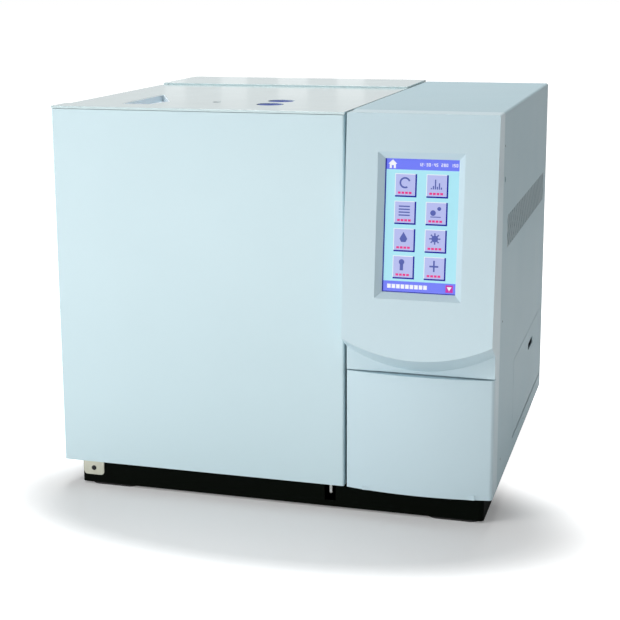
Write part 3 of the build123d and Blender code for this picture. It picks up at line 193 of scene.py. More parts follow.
def make_brushing():
    """Long fine scratches of brushed or drawn metal, along one axis."""
    group, gin, gout = new_group(
        "brushing",
        [("Stretch", "NodeSocketVector", (20.0, 900.0, 900.0)), ("Depth", "NodeSocketFloat", 0.2),
         ("Roughness", "NodeSocketFloat", 0.3)],
        [("Height", "NodeSocketFloat"), ("Roughness", "NodeSocketFloat")])
    coordinates = group.nodes.new("ShaderNodeTexCoord")
    mapping = group.nodes.new("ShaderNodeMapping")
    streak = group.nodes.new("ShaderNodeTexNoise")
    streak.inputs["Scale"].default_value = 1.0
    streak.inputs["Detail"].default_value = 5.0
    group.links.new(coordinates.outputs["Object"], mapping.inputs["Vector"])
    group.links.new(gin.outputs["Stretch"], mapping.inputs["Scale"])
    group.links.new(mapping.outputs["Vector"], streak.inputs["Vector"])
    height = math_node(group, "MULTIPLY", streak.outputs["Fac"], gin.outputs["Depth"])
    spread = math_node(group, "MULTIPLY_ADD", streak.outputs["Fac"], 0.24, -0.12)
    roughness = math_node(group, "ADD", gin.outputs["Roughness"], spread)
    group.links.new(height, gout.inputs["Height"])
    group.links.new(roughness, gout.inputs["Roughness"])
    return group


grain_group = make_moulded_grain()
soiling_group = make_soiling()
brushing_group = make_brushing()

# ---- materials ----------------------------------------------------------------------------
GRAIN_HEIGHT = 0.2 * MM
SCRATCH_HEIGHT = 0.08 * MM
SCREEN_GLOW = 0.62


def new_material(name):
    material = bpy.data.materials.new(name)
    material.use_nodes = True
    tree = material.node_tree
    return material, tree, tree.nodes["Principled BSDF"]


def place_group(tree, group, **values):
    node = tree.nodes.new("ShaderNodeGroup")
    node.node_tree = group
    for label, value in values.items():
        node.inputs[label.replace("_", " ")].default_value = value
    return node


def add_bump(tree, shader, height, distance):
    bump = tree.nodes.new("ShaderNodeBump")
    bump.inputs["Strength"].default_value = 1.0
    bump.inputs["Distance"].default_value = distance
    tree.links.new(height, bump.inputs["Height"])
    tree.links.new(bump.outputs["Normal"], shader.inputs["Normal"])


def coated(name, colour, roughness=0.42, grain=900.0, depth=0.3, amount=0.05, dust=0.04, specular=0.5):
    """Powder coat, moulded plastic, rubber or wool: grain, uneven gloss and slight soiling."""
    material, tree, shader = new_material(name)
    soil = place_group(tree, soiling_group, Colour=(*colour, 1.0), Amount=amount, Dust=dust)
    surface = place_group(tree, grain_group, Grain_Size=grain, Depth=depth, Roughness=roughness)
    tree.links.new(soil.outputs["Colour"], shader.inputs["Base Color"])
    tree.links.new(surface.outputs["Roughness"], shader.inputs["Roughness"])
    add_bump(tree, shader, surface.outputs["Height"], GRAIN_HEIGHT)
    shader.inputs["Specular IOR Level"].default_value = specular
    return material


def metal(name, colour, roughness=0.3, stretch=(20.0, 900.0, 900.0), depth=0.2):
    """Bare or plated metal with fine drawn lines."""
    material, tree, shader = new_material(name)
    soil = place_group(tree, soiling_group, Colour=(*colour, 1.0), Amount=0.12, Dust=0.0)
    lines = place_group(tree, brushing_group, Stretch=stretch, Depth=depth, Roughness=roughness)
    tree.links.new(soil.outputs["Colour"], shader.inputs["Base Color"])
    tree.links.new(lines.outputs["Roughness"], shader.inputs["Roughness"])
    add_bump(tree, shader, lines.outputs["Height"], SCRATCH_HEIGHT)
    shader.inputs["Metallic"].default_value = 1.0
    return material


def lit(name, colour):
    """A part of the display that glows by itself, a little uneven like a real panel."""
    material, tree, shader = new_material(name)
    soil = place_group(tree, soiling_group, Colour=(*colour, 1.0), Amount=0.04, Dust=0.0)
    tree.links.new(soil.outputs["Colour"], shader.inputs["Emission Color"])
    shader.inputs["Base Color"].default_value = (*(0.35 * channel for channel in colour), 1.0)
    shader.inputs["Emission Strength"].default_value = SCREEN_GLOW
    shader.inputs["Roughness"].default_value = 0.25
    shader.inputs["Specular IOR Level"].default_value = 0.2
    return material


def darken_band(material, centre, reach, shade):
    """Darker colour in a box-shaped area: painted shade where thin slots lie close together, and the own dark
    colour of the parts standing on a circuit board.
    """
    tree = material.node_tree
    shader = tree.nodes["Principled BSDF"]
    colour = shader.inputs["Base Color"].links[0].from_socket
    coordinates = tree.nodes.new("ShaderNodeTexCoord")
    split = tree.nodes.new("ShaderNodeSeparateXYZ")
    tree.links.new(coordinates.outputs["Object"], split.inputs["Vector"])
    inside = None
    for axis in range(3):
        near = math_node(tree, "COMPARE", split.outputs[axis], centre[axis], reach[axis])
        inside = near if inside is None else math_node(tree, "MULTIPLY", inside, near)
    value = math_node(tree, "MULTIPLY_ADD", inside, shade - 1.0, 1.0)
    scaled = tree.nodes.new("ShaderNodeVectorMath")
    scaled.operation = "SCALE"
    tree.links.new(colour, scaled.inputs[0])
    tree.links.new(value, scaled.inputs["Scale"])
    tree.links.new(scaled.outputs["Vector"], shader.inputs["Base Color"])


door_coat = coated("door_powder_coat", (0.59, 0.75, 0.80), roughness=0.36, grain=1100.0, depth=0.16)
lid_plastic = coated("lid_moulding", (0.64, 0.78, 0.80), roughness=0.12, grain=800.0, depth=0.02)
unit_plastic = coated("control_moulding", (0.57, 0.72, 0.78), roughness=0.34, grain=900.0, depth=0.14)
# painted shade: the side covers take a darker copy of the door's paint, for the shade on the sides
shaded_side_coat = coated("side_powder_coat_shaded", (0.45, 0.61, 0.67), roughness=0.45, grain=1000.0, depth=0.22,
                   specular=0.3)
# painted shade: the side cover's slotted grille band is coloured darker, for the shade in its close-set slots
GRILLE_MIDDLE = (RIGHT, FRONT + 268.0 * MM, BOTTOM + 308.2 * MM)
GRILLE_REACH = (4.0 * MM, 190.0 * MM, 19.6 * MM)
darken_band(shaded_side_coat, GRILLE_MIDDLE, GRILLE_REACH, 0.66)
rear_coat = coated("rear_powder_coat", (0.50, 0.58, 0.60), roughness=0.48, grain=1000.0, depth=0.22)
base_coat = coated("black_base_coat", (0.002, 0.0032, 0.002), roughness=0.6, grain=700.0, depth=0.4, dust=0.0,
                   specular=0.03)
foot_rubber = coated("foot_rubber", (0.02, 0.02, 0.02), roughness=0.75, grain=500.0, depth=0.6, dust=0.0)
ceramic_wool = coated("ceramic_wool", (0.78, 0.75, 0.68), roughness=0.95, grain=260.0, depth=2.0, amount=0.2)
gasket_rope = coated("gasket_rope", (0.70, 0.68, 0.62), roughness=0.9, grain=420.0, depth=1.6, amount=0.2)
# painted light: the finger cup is coloured lighter than the lid, to lift the shade inside the deep cup
cup_painted_light = coated("finger_pull_painted_light", (0.78, 0.88, 0.94), roughness=0.35, grain=800.0, depth=0.2,
                     dust=0.0)
septum_blue = coated("septum_cap_blue", (0.03, 0.07, 0.34), roughness=0.45, grain=900.0, depth=0.1, dust=0.0,
                     specular=0.1)
black_plastic = coated("black_plastic", (0.02, 0.02, 0.022), roughness=0.4, grain=900.0, depth=0.3, dust=0.0)
knob_plastic = coated("knob_plastic", (0.05, 0.055, 0.065), roughness=0.42, grain=700.0, depth=0.3, dust=0.0)
circuit_green = coated("circuit_board", (0.015, 0.16, 0.07), roughness=0.3, grain=300.0, depth=0.4, amount=0.25)
PARTS_H = 21.9 * MM                    # height of the parts that stand on the board
board_lo, board_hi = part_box("main_board")
darken_band(circuit_green, (board_hi.x, FRONT, BOTTOM), (PARTS_H, 1.0, 1.0), 0.18)
column_amber = coated("amber_column", (0.26, 0.11, 0.03), roughness=0.25, grain=600.0, depth=0.1, dust=0.0)
motor_paint = coated("motor_paint", (0.05, 0.05, 0.055), roughness=0.45, grain=600.0, depth=0.4)
gauge_card = coated("gauge_card", (0.86, 0.86, 0.84), roughness=0.6, grain=900.0, depth=0.05, dust=0.0)
gauge_ink = coated("gauge_ink", (0.015, 0.015, 0.015), roughness=0.6, grain=900.0, depth=0.05, dust=0.0)
needle_red = coated("needle_red", (0.55, 0.02, 0.015), roughness=0.4, grain=900.0, depth=0.05, dust=0.0)
zinc = metal("zinc_plate", (0.60, 0.60, 0.58), roughness=0.38, stretch=(60.0, 60.0, 60.0))
stainless = metal("brushed_stainless", (0.62, 0.61, 0.59), roughness=0.3)
bright_steel = metal("bright_steel", (0.72, 0.71, 0.68), roughness=0.22, stretch=(500.0, 500.0, 60.0))
bracket_steel = metal("bracket_nickel", (0.68, 0.68, 0.57), roughness=0.34, stretch=(700.0, 60.0, 60.0))
aluminium = metal("machined_aluminium", (0.74, 0.74, 0.75), roughness=0.35, stretch=(80.0, 80.0, 700.0))
black_steel = metal("blackened_steel", (0.035, 0.037, 0.04), roughness=0.4)
brass = metal("turned_brass", (0.78, 0.58, 0.25), roughness=0.25, stretch=(80.0, 80.0, 900.0))
heater_wire = metal("heater_sheath", (0.30, 0.26, 0.24), roughness=0.5, stretch=(90.0, 90.0, 90.0))

screen_cyan = lit("screen_background", (0.44, 0.84, 0.96))
screen_violet = lit("screen_bar", (0.18, 0.22, 0.98))
screen_white = lit("screen_white", (0.95, 0.95, 1.0))
screen_lilac = lit("screen_button", (0.50, 0.54, 0.90))
screen_light = lit("screen_button_light", (0.86, 0.92, 1.0))
screen_navy = lit("screen_edge", (0.003, 0.006, 0.34))
screen_blue = lit("screen_picture", (0.10, 0.13, 0.45))
screen_pink = lit("screen_caption", (0.86, 0.04, 0.26))
screen_magenta = lit("screen_menu", (0.60, 0.02, 0.40))


def glass_material():
    """Clear cover glass over the display."""
    material, tree, shader = new_material("cover_glass")
    surface = place_group(tree, grain_group, Grain_Size=30.0, Depth=0.02, Roughness=0.08)
    tree.links.new(surface.outputs["Roughness"], shader.inputs["Roughness"])
    shader.inputs["Base Color"].default_value = (0.02, 0.03, 0.06, 1.0)
    shader.inputs["Specular IOR Level"].default_value = 0.5
    return material


dark_glass = glass_material()

# ---- finishes of the frame's own pieces ---------------------------------------------------
FINISHES = {
    door_coat: ("door_skin",),
    lid_plastic: ("lid", "rear_strip"),
    unit_plastic: ("control_bezel", "flow_bay_frame", "flow_door"),
    shaded_side_coat: ("right_cover", "left_cover", "service_cover"),
    rear_coat: ("rear_panel",),
    base_coat: ("base_tray",),
    foot_rubber: ("feet",),
    zinc: ("partition", "front_frame", "floor_plates", "oven_shell", "control_chassis", "cover_hinges",
           "power_supply", "air_ducts", "vent_flaps", "upper_hinge"),
    bracket_steel: ("lower_hinge",),
    bright_steel: ("cover_screws", "hinge_pins", "release_pin", "release_spring", "temperature_probe",
                   "column_basket", "injectors", "detector", "gas_inlets", "gas_lines"),
    stainless: ("oven_liner", "door_liner", "oven_baffle", "oven_fan"),
    heater_wire: ("heater_coil",),
    ceramic_wool: ("oven_insulation", "door_insulation"),
    gasket_rope: ("door_gasket",),
    motor_paint: ("fan_motor", "flap_stepper"),
    aluminium: ("injector_block", "regulators"),
    brass: ("column_nuts",),
    column_amber: ("capillary_column",),
    septum_blue: ("septum_nuts",),
    cup_painted_light: ("lid_finger_cup",),
    black_plastic: ("pressure_gauges", "display_module", "power_inlet", "power_rocker", "case_fan",
                    "case_fan_rotor"),
    knob_plastic: ("knob_1", "knob_2", "knob_3"),
    circuit_green: ("main_board",),
    dark_glass: ("display_glass",),
}
for material, names in FINISHES.items():
    for name in names:
        nodes[name].data.materials.clear()
        nodes[name].data.materials.append(material)

# ---- display page -------------------------------------------------------------------------
across = Vector((1.0, 0.0, 0.0))
up_slope = Vector((0.0, sin(SLOPE), cos(SLOPE)))
outward = Vector((0.0, -cos(SLOPE), sin(SLOPE)))
screen_top = Vector(((bezel_lo.x + bezel_hi.x) / 2, FRONT, TOP))
screen_centre = screen_top - up_slope * SCREEN_DROP - outward * GLASS_IN
PAGE_T = 0.15 * MM
HEADER_H = 12.5 * MM
FOOTER_H = 13.0 * MM
BUTTON_W = 24.5 * MM
BUTTON_H = 26.0 * MM
BUTTON_XS = (-19.0 * MM, 17.5 * MM)
BUTTON_DROPS = (30.0 * MM, 61.5 * MM, 93.0 * MM, 124.5 * MM)
EDGE = 0.9 * MM                        # light and dark edges of a button
SHADE_IN = 0.4 * MM                    # start of a button's dark edge
BORDER = 1.3 * MM                      # dark line left of the page: painted shade of the recess gap, with the display's own dark rim
half_w = SCREEN_W / 2
half_h = SCREEN_H / 2


def page_piece(name, outlines, layer, material):
    """Flat coloured shapes on the display, one thin layer above the last."""
    bm = bmesh.new()
    origin = screen_centre + outward * (PAGE_T * layer)
    for outline in outlines:
        add_prism(bm, outline, across, up_slope, outward, origin, PAGE_T)
    return mesh_object(name, bm, material, "cabinet")


def button_places():
    for drop in BUTTON_DROPS:
        for u in BUTTON_XS:
            yield u, half_h - drop


# the navy background shows only left of and under the page: painted shade of the recess gap, with the display's
# own dark rim
page_piece("page_background", [rectangle(-half_w, half_w, -half_h, half_h)], 0, screen_navy)
page_piece("page_field", [rectangle(-half_w + BORDER, half_w, -half_h + EDGE, half_h)], 1, screen_cyan)
page_piece("page_bars", [
    rectangle(-half_w + BORDER, half_w, half_h - HEADER_H, half_h),
    rectangle(-half_w + BORDER, half_w, -half_h + EDGE, -half_h + FOOTER_H)], 2, screen_violet)
page_piece("button_shadows", [
    rectangle(u - BUTTON_W / 2 + SHADE_IN, u + BUTTON_W / 2 + EDGE, v - BUTTON_H / 2 - EDGE,
              v + BUTTON_H / 2 - SHADE_IN) for u, v in button_places()], 2, screen_navy)
page_piece("button_lights", [
    rectangle(u - BUTTON_W / 2, u + BUTTON_W / 2 - EDGE, v - BUTTON_H / 2 + EDGE, v + BUTTON_H / 2)
    for u, v in button_places()], 3, screen_light)
page_piece("button_faces", [
    rectangle(u - BUTTON_W / 2 + EDGE, u + BUTTON_W / 2 - EDGE, v - BUTTON_H / 2 + EDGE,
              v + BUTTON_H / 2 - EDGE) for u, v in button_places()], 4, screen_lilac)


def arc_piece(centre, corners):
    """An outline through (radius, angle) corners round a centre."""
    return [(centre[0] + q * cos(a), centre[1] + q * sin(a)) for q, a in corners]


def picture_outlines(index, u, v):
    """A plain picture for each button: ring, peaks, lines, balls, drop, gear, column or cross."""
    c = (u, v + 2.5 * MM)
    r = 6.5 * MM
    if index == 0:
        turns = [radians(20 + 14 * k) for k in range(21)]
        return [arc_piece(c, ((r, a), (r, b), (r * 0.7, b), (r * 0.7, a))) for a, b in zip(turns, turns[1:])]
    if index == 1:
        heights = (0.2, 0.5, 1.4, 0.4, 0.9, 0.3)
        return [rectangle(c[0] - r + 2.3 * MM * k, c[0] - r + 2.3 * MM * k + 1.4 * MM, c[1] - r,
                          c[1] - r + 8 * MM * h) for k, h in enumerate(heights)]
    if index == 2:
        return [rectangle(c[0] - r, c[0] + r, c[1] - r + 3.4 * MM * k, c[1] - r + 3.4 * MM * k + 1.5 * MM)
                for k in range(4)]
    if index == 3:
        return [circle(r * 0.5, 20, (c[0] - 3 * MM, c[1] - 2 * MM)),
                circle(r * 0.35, 16, (c[0] + 4 * MM, c[1] + 3 * MM)),
                rectangle(c[0] - 6 * MM, c[0] + 6 * MM, c[1] - 7 * MM, c[1] - 6 * MM)]
    if index == 4:
        return [[(c[0], c[1] + r), (c[0] + r * 0.7, c[1] - r * 0.2), (c[0] + r * 0.4, c[1] - r * 0.8),
                 (c[0] - r * 0.4, c[1] - r * 0.8), (c[0] - r * 0.7, c[1] - r * 0.2)]]
    if index == 5:
        return [circle(r * 0.6, 24, c)] + [
            arc_piece(c, ((r * 0.55, t - 0.18), (r, t - 0.14), (r, t + 0.14), (r * 0.55, t + 0.18)))
            for t in (2 * pi * k / 8 for k in range(8))]
    if index == 6:
        return [rectangle(c[0] - r * 0.5, c[0] + r * 0.1, c[1] - r, c[1] + r * 0.4),
                circle(r * 0.5, 18, (c[0] - r * 0.2, c[1] + r * 0.5))]
    return [rectangle(c[0] - r * 0.8, c[0] + r * 0.8, c[1] - r * 0.2, c[1] + r * 0.1),
            rectangle(c[0] - r * 0.15, c[0] + r * 0.15, c[1] - r, c[1] + r)]


pictures = []
for index, (u, v) in enumerate(button_places()):
    pictures += picture_outlines(index, u - 0.5 * MM, v)
page_piece("button_pictures", pictures, 5, screen_blue)
captions = []
for u, v in button_places():
    for k in range(4):
        start = u - 8.5 * MM + 4.2 * MM * k
        captions.append(rectangle(start, start + 3.2 * MM, v - 10.3 * MM, v - 7.8 * MM))
page_piece("button_captions", captions, 5, screen_pink)

home_u = -half_w + 8.5 * MM
home_v = half_h - HEADER_H / 2
page_piece("home_sign", [
    [(home_u - 5.2 * MM, home_v), (home_u + 5.2 * MM, home_v), (home_u, home_v + 5 * MM)],
    rectangle(home_u - 3.6 * MM, home_u - 1.1 * MM, home_v - 5 * MM, home_v),
    rectangle(home_u + 1.1 * MM, home_u + 3.6 * MM, home_v - 5 * MM, home_v),
    rectangle(home_u - 1.1 * MM, home_u + 1.1 * MM, home_v - 1.6 * MM, home_v)], 3, screen_white)
marks = [rectangle(-half_w + (6 + 5.3 * k) * MM, -half_w + (10.2 + 5.3 * k) * MM, -half_h + 4.5 * MM,
                   -half_h + 9.3 * MM) for k in range(9)]
page_piece("footer_marks", marks, 3, screen_white)
menu_u = half_w - 7.5 * MM
menu_v = -half_h + FOOTER_H / 2 + 0.4 * MM
MENU_R = 4.2 * MM
page_piece("menu_button", [rectangle(menu_u - MENU_R, menu_u + MENU_R, menu_v - MENU_R, menu_v + MENU_R)],
           3, screen_magenta)
page_piece("menu_arrow", [[(menu_u - 2.8 * MM, menu_v + 2.2 * MM), (menu_u, menu_v - 2.4 * MM),
                           (menu_u + 2.8 * MM, menu_v + 2.2 * MM)]], 4, screen_white)

# seven-segment digits, for the clock and for the gauges
SEGMENTS = {"0": "abcdef", "1": "bc", "2": "abged", "3": "abgcd", "4": "fgbc", "5": "afgcd", "8": "abcdefg"}


def digit_outlines(text, u, v, height):
    width = height * 0.55
    t = height * 0.16
    places = {
        "a": (0, width, height - t, height), "d": (0, width, 0, t),
        "g": (0, width, (height - t) / 2, (height + t) / 2),
        "f": (0, t, height / 2, height), "e": (0, t, 0, height / 2),
        "b": (width - t, width, height / 2, height), "c": (width - t, width, 0, height / 2)}
    outlines = []
    for character in text:
        for segment in SEGMENTS.get(character, ""):
            x0, x1, y0, y1 = places[segment]
            outlines.append(rectangle(u + x0, u + x1, v + y0, v + y1))
        if character == ":":
            for z in (v + height * 0.25, v + height * 0.65):
                outlines.append(rectangle(u + width * 0.3, u + width * 0.3 + t, z, z + t))
        u += width * 1.45
    return outlines


page_piece("clock_digits", digit_outlines("12:30:45 280 150", -4.0 * MM, home_v - 1.8 * MM, 3.6 * MM), 3,
           screen_white)

# ---- repeated pieces by geometry nodes ----------------------------------------------------


def make_repeat_tree():
    """One shape on every point, turned by the point's 'turn' and sized by its 'size'."""
    tree = bpy.data.node_groups.new("repeat_on_points", "GeometryNodeTree")
    sockets = tree.interface
    sockets.new_socket(name="Points", in_out="INPUT", socket_type="NodeSocketGeometry")
    sockets.new_socket(name="Shape", in_out="INPUT", socket_type="NodeSocketObject")
    sockets.new_socket(name="Finish", in_out="INPUT", socket_type="NodeSocketMaterial")
    sockets.new_socket(name="Pieces", in_out="OUTPUT", socket_type="NodeSocketGeometry")
    gin = tree.nodes.new("NodeGroupInput")
    gout = tree.nodes.new("NodeGroupOutput")
    shape = tree.nodes.new("GeometryNodeObjectInfo")
    turn = tree.nodes.new("GeometryNodeInputNamedAttribute")
    turn.data_type = "FLOAT_VECTOR"
    turn.inputs["Name"].default_value = "turn"
    own_size = tree.nodes.new("GeometryNodeInputNamedAttribute")
    own_size.data_type = "FLOAT"
    own_size.inputs["Name"].default_value = "size"
    instances = tree.nodes.new("GeometryNodeInstanceOnPoints")
    realize = tree.nodes.new("GeometryNodeRealizeInstances")
    finish = tree.nodes.new("GeometryNodeSetMaterial")
    link = tree.links.new
    link(gin.outputs["Points"], instances.inputs["Points"])
    link(gin.outputs["Shape"], shape.inputs["Object"])
    link(shape.outputs["Geometry"], instances.inputs["Instance"])
    link(turn.outputs["Attribute"], instances.inputs["Rotation"])
    link(own_size.outputs["Attribute"], instances.inputs["Scale"])
    link(instances.outputs["Instances"], realize.inputs["Geometry"])
    link(realize.outputs["Geometry"], finish.inputs["Geometry"])
    link(gin.outputs["Finish"], finish.inputs["Material"])
    link(finish.outputs["Geometry"], gout.inputs["Pieces"])
    return tree


repeat_tree = make_repeat_tree()
shapes = []                            # helper shapes, removed once all copies are made


def shape_object(name, bm):
    shapes.append(bmesh_object(name, bm))
    return shapes[-1]


def flat_shape(name, outline, height):
    """A flat outline pushed up along Z."""
    bm = bmesh.new()
    add_prism(bm, outline, Vector((1, 0, 0)), Vector((0, 1, 0)), Vector((0, 0, 1)), Vector((0, 0, 0)), height)
    return shape_object(name, bm)


def repeat(name, places, shape, material, body, smooth=False):
    """Copies of a shape at (point, turn, size) places as one piece on one body."""
    points = bpy.data.meshes.new(name + "_points")
    points.from_pydata([tuple(point) for point, _, _ in places], [], [])
    points.attributes.new("turn", "FLOAT_VECTOR", "POINT")
    points.attributes.new("size", "FLOAT", "POINT")
    for index, (_, turn, scale) in enumerate(places):
        points.attributes["turn"].data[index].vector = turn
        points.attributes["size"].data[index].value = scale
    carrier = linked(name + "_points", points)
    modifier = carrier.modifiers.new("repeat", "NODES")
    modifier.node_group = repeat_tree
    values = {"Shape": shape, "Finish": material}
    for socket in repeat_tree.interface.items_tree:
        if socket.in_out == "INPUT" and socket.name in values:
            modifier[socket.identifier] = values[socket.name]
    graph = bpy.context.evaluated_depsgraph_get()
    mesh = bpy.data.meshes.new_from_object(carrier.evaluated_get(graph))
    mesh.name = name
    carrier.modifiers.remove(modifier)
    bpy.data.objects.remove(carrier)
    for polygon in mesh.polygons:
        polygon.use_smooth = smooth
    return attach(linked(name, mesh), body)


def add_lathe(bm, profile, count):
    """A closed turned shape round Z from (radius, height) pairs, first and last on the axis."""
    rings = []
    for radius, height in profile:
        if radius == 0.0:
            rings.append([bm.verts.new((0.0, 0.0, height))])
        else:
            rings.append([bm.verts.new((x, y, height)) for x, y in circle(radius, count)])
    for lower, upper in zip(rings, rings[1:]):
        for i in range(count):
            j = (i + 1) % count
            corners = [lower[i % len(lower)], lower[j % len(lower)],
                       upper[j % len(upper)], upper[i % len(upper)]]
            bm.faces.new(list(dict.fromkeys(corners)))


def add_ring(bm, major, minor, count, sides):
    """A torus round Z."""
    rows = [[bm.verts.new(((major + minor * cos(2 * pi * k / sides)) * cos(2 * pi * i / count),
                           (major + minor * cos(2 * pi * k / sides)) * sin(2 * pi * i / count),
                           minor * sin(2 * pi * k / sides))) for k in range(sides)] for i in range(count)]
    for i in range(count):
        for k in range(sides):
            following = rows[(i + 1) % count]
            bm.faces.new((rows[i][k], following[k], following[(k + 1) % sides], rows[i][(k + 1) % sides]))


FACING_RIGHT = (0.0, pi / 2, 0.0)
FACING_FRONT = (pi / 2, 0.0, 0.0)

# ---- screws -------------------------------------------------------------------------------
screws_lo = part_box("cover_screws")[0]
SIDE_SCREWS = ((43.5, 414.4), (53.8, 204.3), (62.7, 29.8), (288.0, 10.0), (480.0, 375.5))
bm = bmesh.new()
add_lathe(bm, [(0.0, -6.0 * MM), (1.9 * MM, -6.0 * MM), (1.9 * MM, -1.4 * MM), (2.0 * MM, -0.5 * MM),
               (2.0 * MM, -0.25 * MM), (1.75 * MM, -0.05 * MM), (1.0 * MM, -0.05 * MM), (0.9 * MM, -0.9 * MM),
               (0.0, -0.9 * MM)], 24)
flush_screw = shape_object("flush_screw_shape", bm)
side_places = [((RIGHT, FRONT + y * MM, BOTTOM + z * MM), FACING_RIGHT, 1.0) for y, z in SIDE_SCREWS]
side_screws = repeat("side_screws", side_places, flush_screw, black_steel, "cabinet")
bm = bmesh.new()
add_lathe(bm, [(0.0, -3.0 * MM), (1.45 * MM, -3.0 * MM), (1.45 * MM, 0.0), (3.2 * MM, 0.0),
               (3.1 * MM, 0.5 * MM), (2.4 * MM, 0.9 * MM), (1.3 * MM, 1.0 * MM), (1.1 * MM, 0.3 * MM),
               (0.0, 0.3 * MM)], 28)
pan_screw = shape_object("pan_screw_shape", bm)
PLATE_L = 28.0 * MM
SCREW_DROP = 11.0 * MM
HEAD_T = 1.0 * MM
plate_screw_x = LEFT + 23.0 * MM + PLATE_L / 2
plate_screw = repeat("hinge_plate_screw", [((plate_screw_x, screws_lo.y + HEAD_T, BOTTOM - SCREW_DROP),
                                            FACING_FRONT, 1.0)], pan_screw, black_steel, "cabinet")
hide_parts("cover_screws")
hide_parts("cover_screws")

# ---- caps of the injectors, just under the lid --------------------------------------------
nuts_lo, nuts_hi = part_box("septum_nuts")
CAP_R = (nuts_hi.x - nuts_lo.x) / 2
cap_x = (nuts_lo.x + nuts_hi.x) / 2
cap_ys = (nuts_lo.y + CAP_R, nuts_hi.y - CAP_R)
cap_places = [((cap_x, y, nuts_hi.z - 0.4 * MM), (0.0, 0.0, 0.0), 1.0) for y in cap_ys]
bm = bmesh.new()
add_lathe(bm, [(0.0, 0.0), (CAP_R - 0.4 * MM, 0.0), (CAP_R, 0.5 * MM), (CAP_R, 2.9 * MM),
               (CAP_R - 0.9 * MM, 3.9 * MM), (3.0 * MM, 4.0 * MM), (2.2 * MM, 3.4 * MM), (0.0, 3.4 * MM)], 48)
cap_shape = shape_object("cap_shape", bm)
repeat("septum_caps", cap_places, cap_shape, septum_blue, "cabinet")
bm = bmesh.new()
add_prism(bm, rectangle(-0.28 * MM, 0.28 * MM, 0.0, 0.5 * MM), Vector((1, 0, 0)), Vector((0, 1, 0)),
          Vector((0, 0, 1)), Vector((0, CAP_R - 0.15 * MM, -16.0 * MM)), 18.4 * MM)
rib_shape = shape_object("cap_rib_shape", bm)
RIBS = 48
rib_places = [((cap_x, y, nuts_hi.z), (0.0, 0.0, 2 * pi * k / RIBS), 1.0) for y in cap_ys for k in range(RIBS)]
repeat("septum_cap_ribs", rib_places, rib_shape, septum_blue, "cabinet")

# ---- gauges -------------------------------------------------------------------------------
gauges_lo, gauges_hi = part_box("pressure_gauges")
GAUGE_R = 20.0 * MM
FACE_IN = 2.0 * MM
CARD_T = 0.3 * MM
gauge_xs = (gauges_lo.x + GAUGE_R, (gauges_lo.x + gauges_hi.x) / 2, gauges_hi.x - GAUGE_R)
gauge_z = (gauges_lo.z + gauges_hi.z) / 2
face_y = gauges_lo.y + FACE_IN
SWEEP = radians(270)
START = radians(225)
TICKS = 25
away = Vector((0.0, -1.0, 0.0))
upright = Vector((0.0, 0.0, 1.0))


def dial_point(centre_x, centre_z, radius, angle, y):
    return Vector((centre_x + radius * cos(angle), y, centre_z + radius * sin(angle)))


def flat_piece(name, outlines, y, depth, material, body):
    """Flat shapes in the front plane, pushed forwards by depth."""
    bm = bmesh.new()
    for outline in outlines:
        add_prism(bm, outline, across, upright, away, Vector((0.0, y, 0.0)), depth)
    return mesh_object(name, bm, material, body)


flat_piece("gauge_cards", [circle(17.8 * MM, 48, (x, gauge_z)) for x in gauge_xs], face_y, CARD_T, gauge_card,
           "cabinet")
INK_T = 0.12 * MM
tick_shape = flat_shape("tick_shape", rectangle(-0.22 * MM, 0.22 * MM, -1.2 * MM, 1.2 * MM), INK_T)
tick_places = []
for x in gauge_xs:
    for index in range(TICKS):
        angle = START - SWEEP * index / (TICKS - 1)
        size = 1.5 if index % 6 == 0 else 0.8
        place = dial_point(x, gauge_z, 16.2 * MM - 1.2 * MM * size, angle, face_y - CARD_T)
        tick_places.append((place, (pi / 2, -(angle - pi / 2), 0.0), size))
repeat("gauge_ticks", tick_places, tick_shape, gauge_ink, "cabinet")
numbers = []
for x in gauge_xs:
    for index, text in enumerate(("0", "2", "4", "8", "10")):
        angle = START - SWEEP * index / 4
        at = dial_point(x, gauge_z, 10.2 * MM, angle, 0.0)
        numbers += digit_outlines(text, at.x - 0.9 * MM * len(text), at.z - 1.2 * MM, 2.4 * MM)
flat_piece("gauge_numbers", numbers, face_y - CARD_T, INK_T, gauge_ink, "cabinet")
READINGS = (0.34, 0.46, 0.28)          # share of the sweep that each needle shows
NEEDLE_L = 13.5 * MM
NEEDLE_TAIL = 4.0 * MM
NEEDLE_W = 0.7 * MM
needles = []
for x, turn in zip(gauge_xs, READINGS):
    angle = START - SWEEP * turn
    tip = (x + NEEDLE_L * cos(angle), gauge_z + NEEDLE_L * sin(angle))
    side = (NEEDLE_W * cos(angle + pi / 2), NEEDLE_W * sin(angle + pi / 2))
    tail = (x - NEEDLE_TAIL * cos(angle), gauge_z - NEEDLE_TAIL * sin(angle))
    needles.append([(tail[0] + side[0], tail[1] + side[1]), (tail[0] - side[0], tail[1] - side[1]), tip])
flat_piece("gauge_needles", needles, face_y - 0.8 * MM, 0.25 * MM, needle_red, "cabinet")
flat_piece("gauge_hubs", [circle(1.6 * MM, 20, (x, gauge_z)) for x in gauge_xs], face_y - 0.5 * MM, 0.9 * MM,
           gauge_ink, "cabinet")
bm = bmesh.new()
add_ring(bm, 18.6 * MM, 0.9 * MM, 64, 12)
rim_shape = shape_object("gauge_rim_shape", bm)
repeat("gauge_rims", [((x, gauges_lo.y + 0.95 * MM, gauge_z), FACING_FRONT, 1.0) for x in gauge_xs], rim_shape,
       bright_steel, "cabinet", smooth=True)

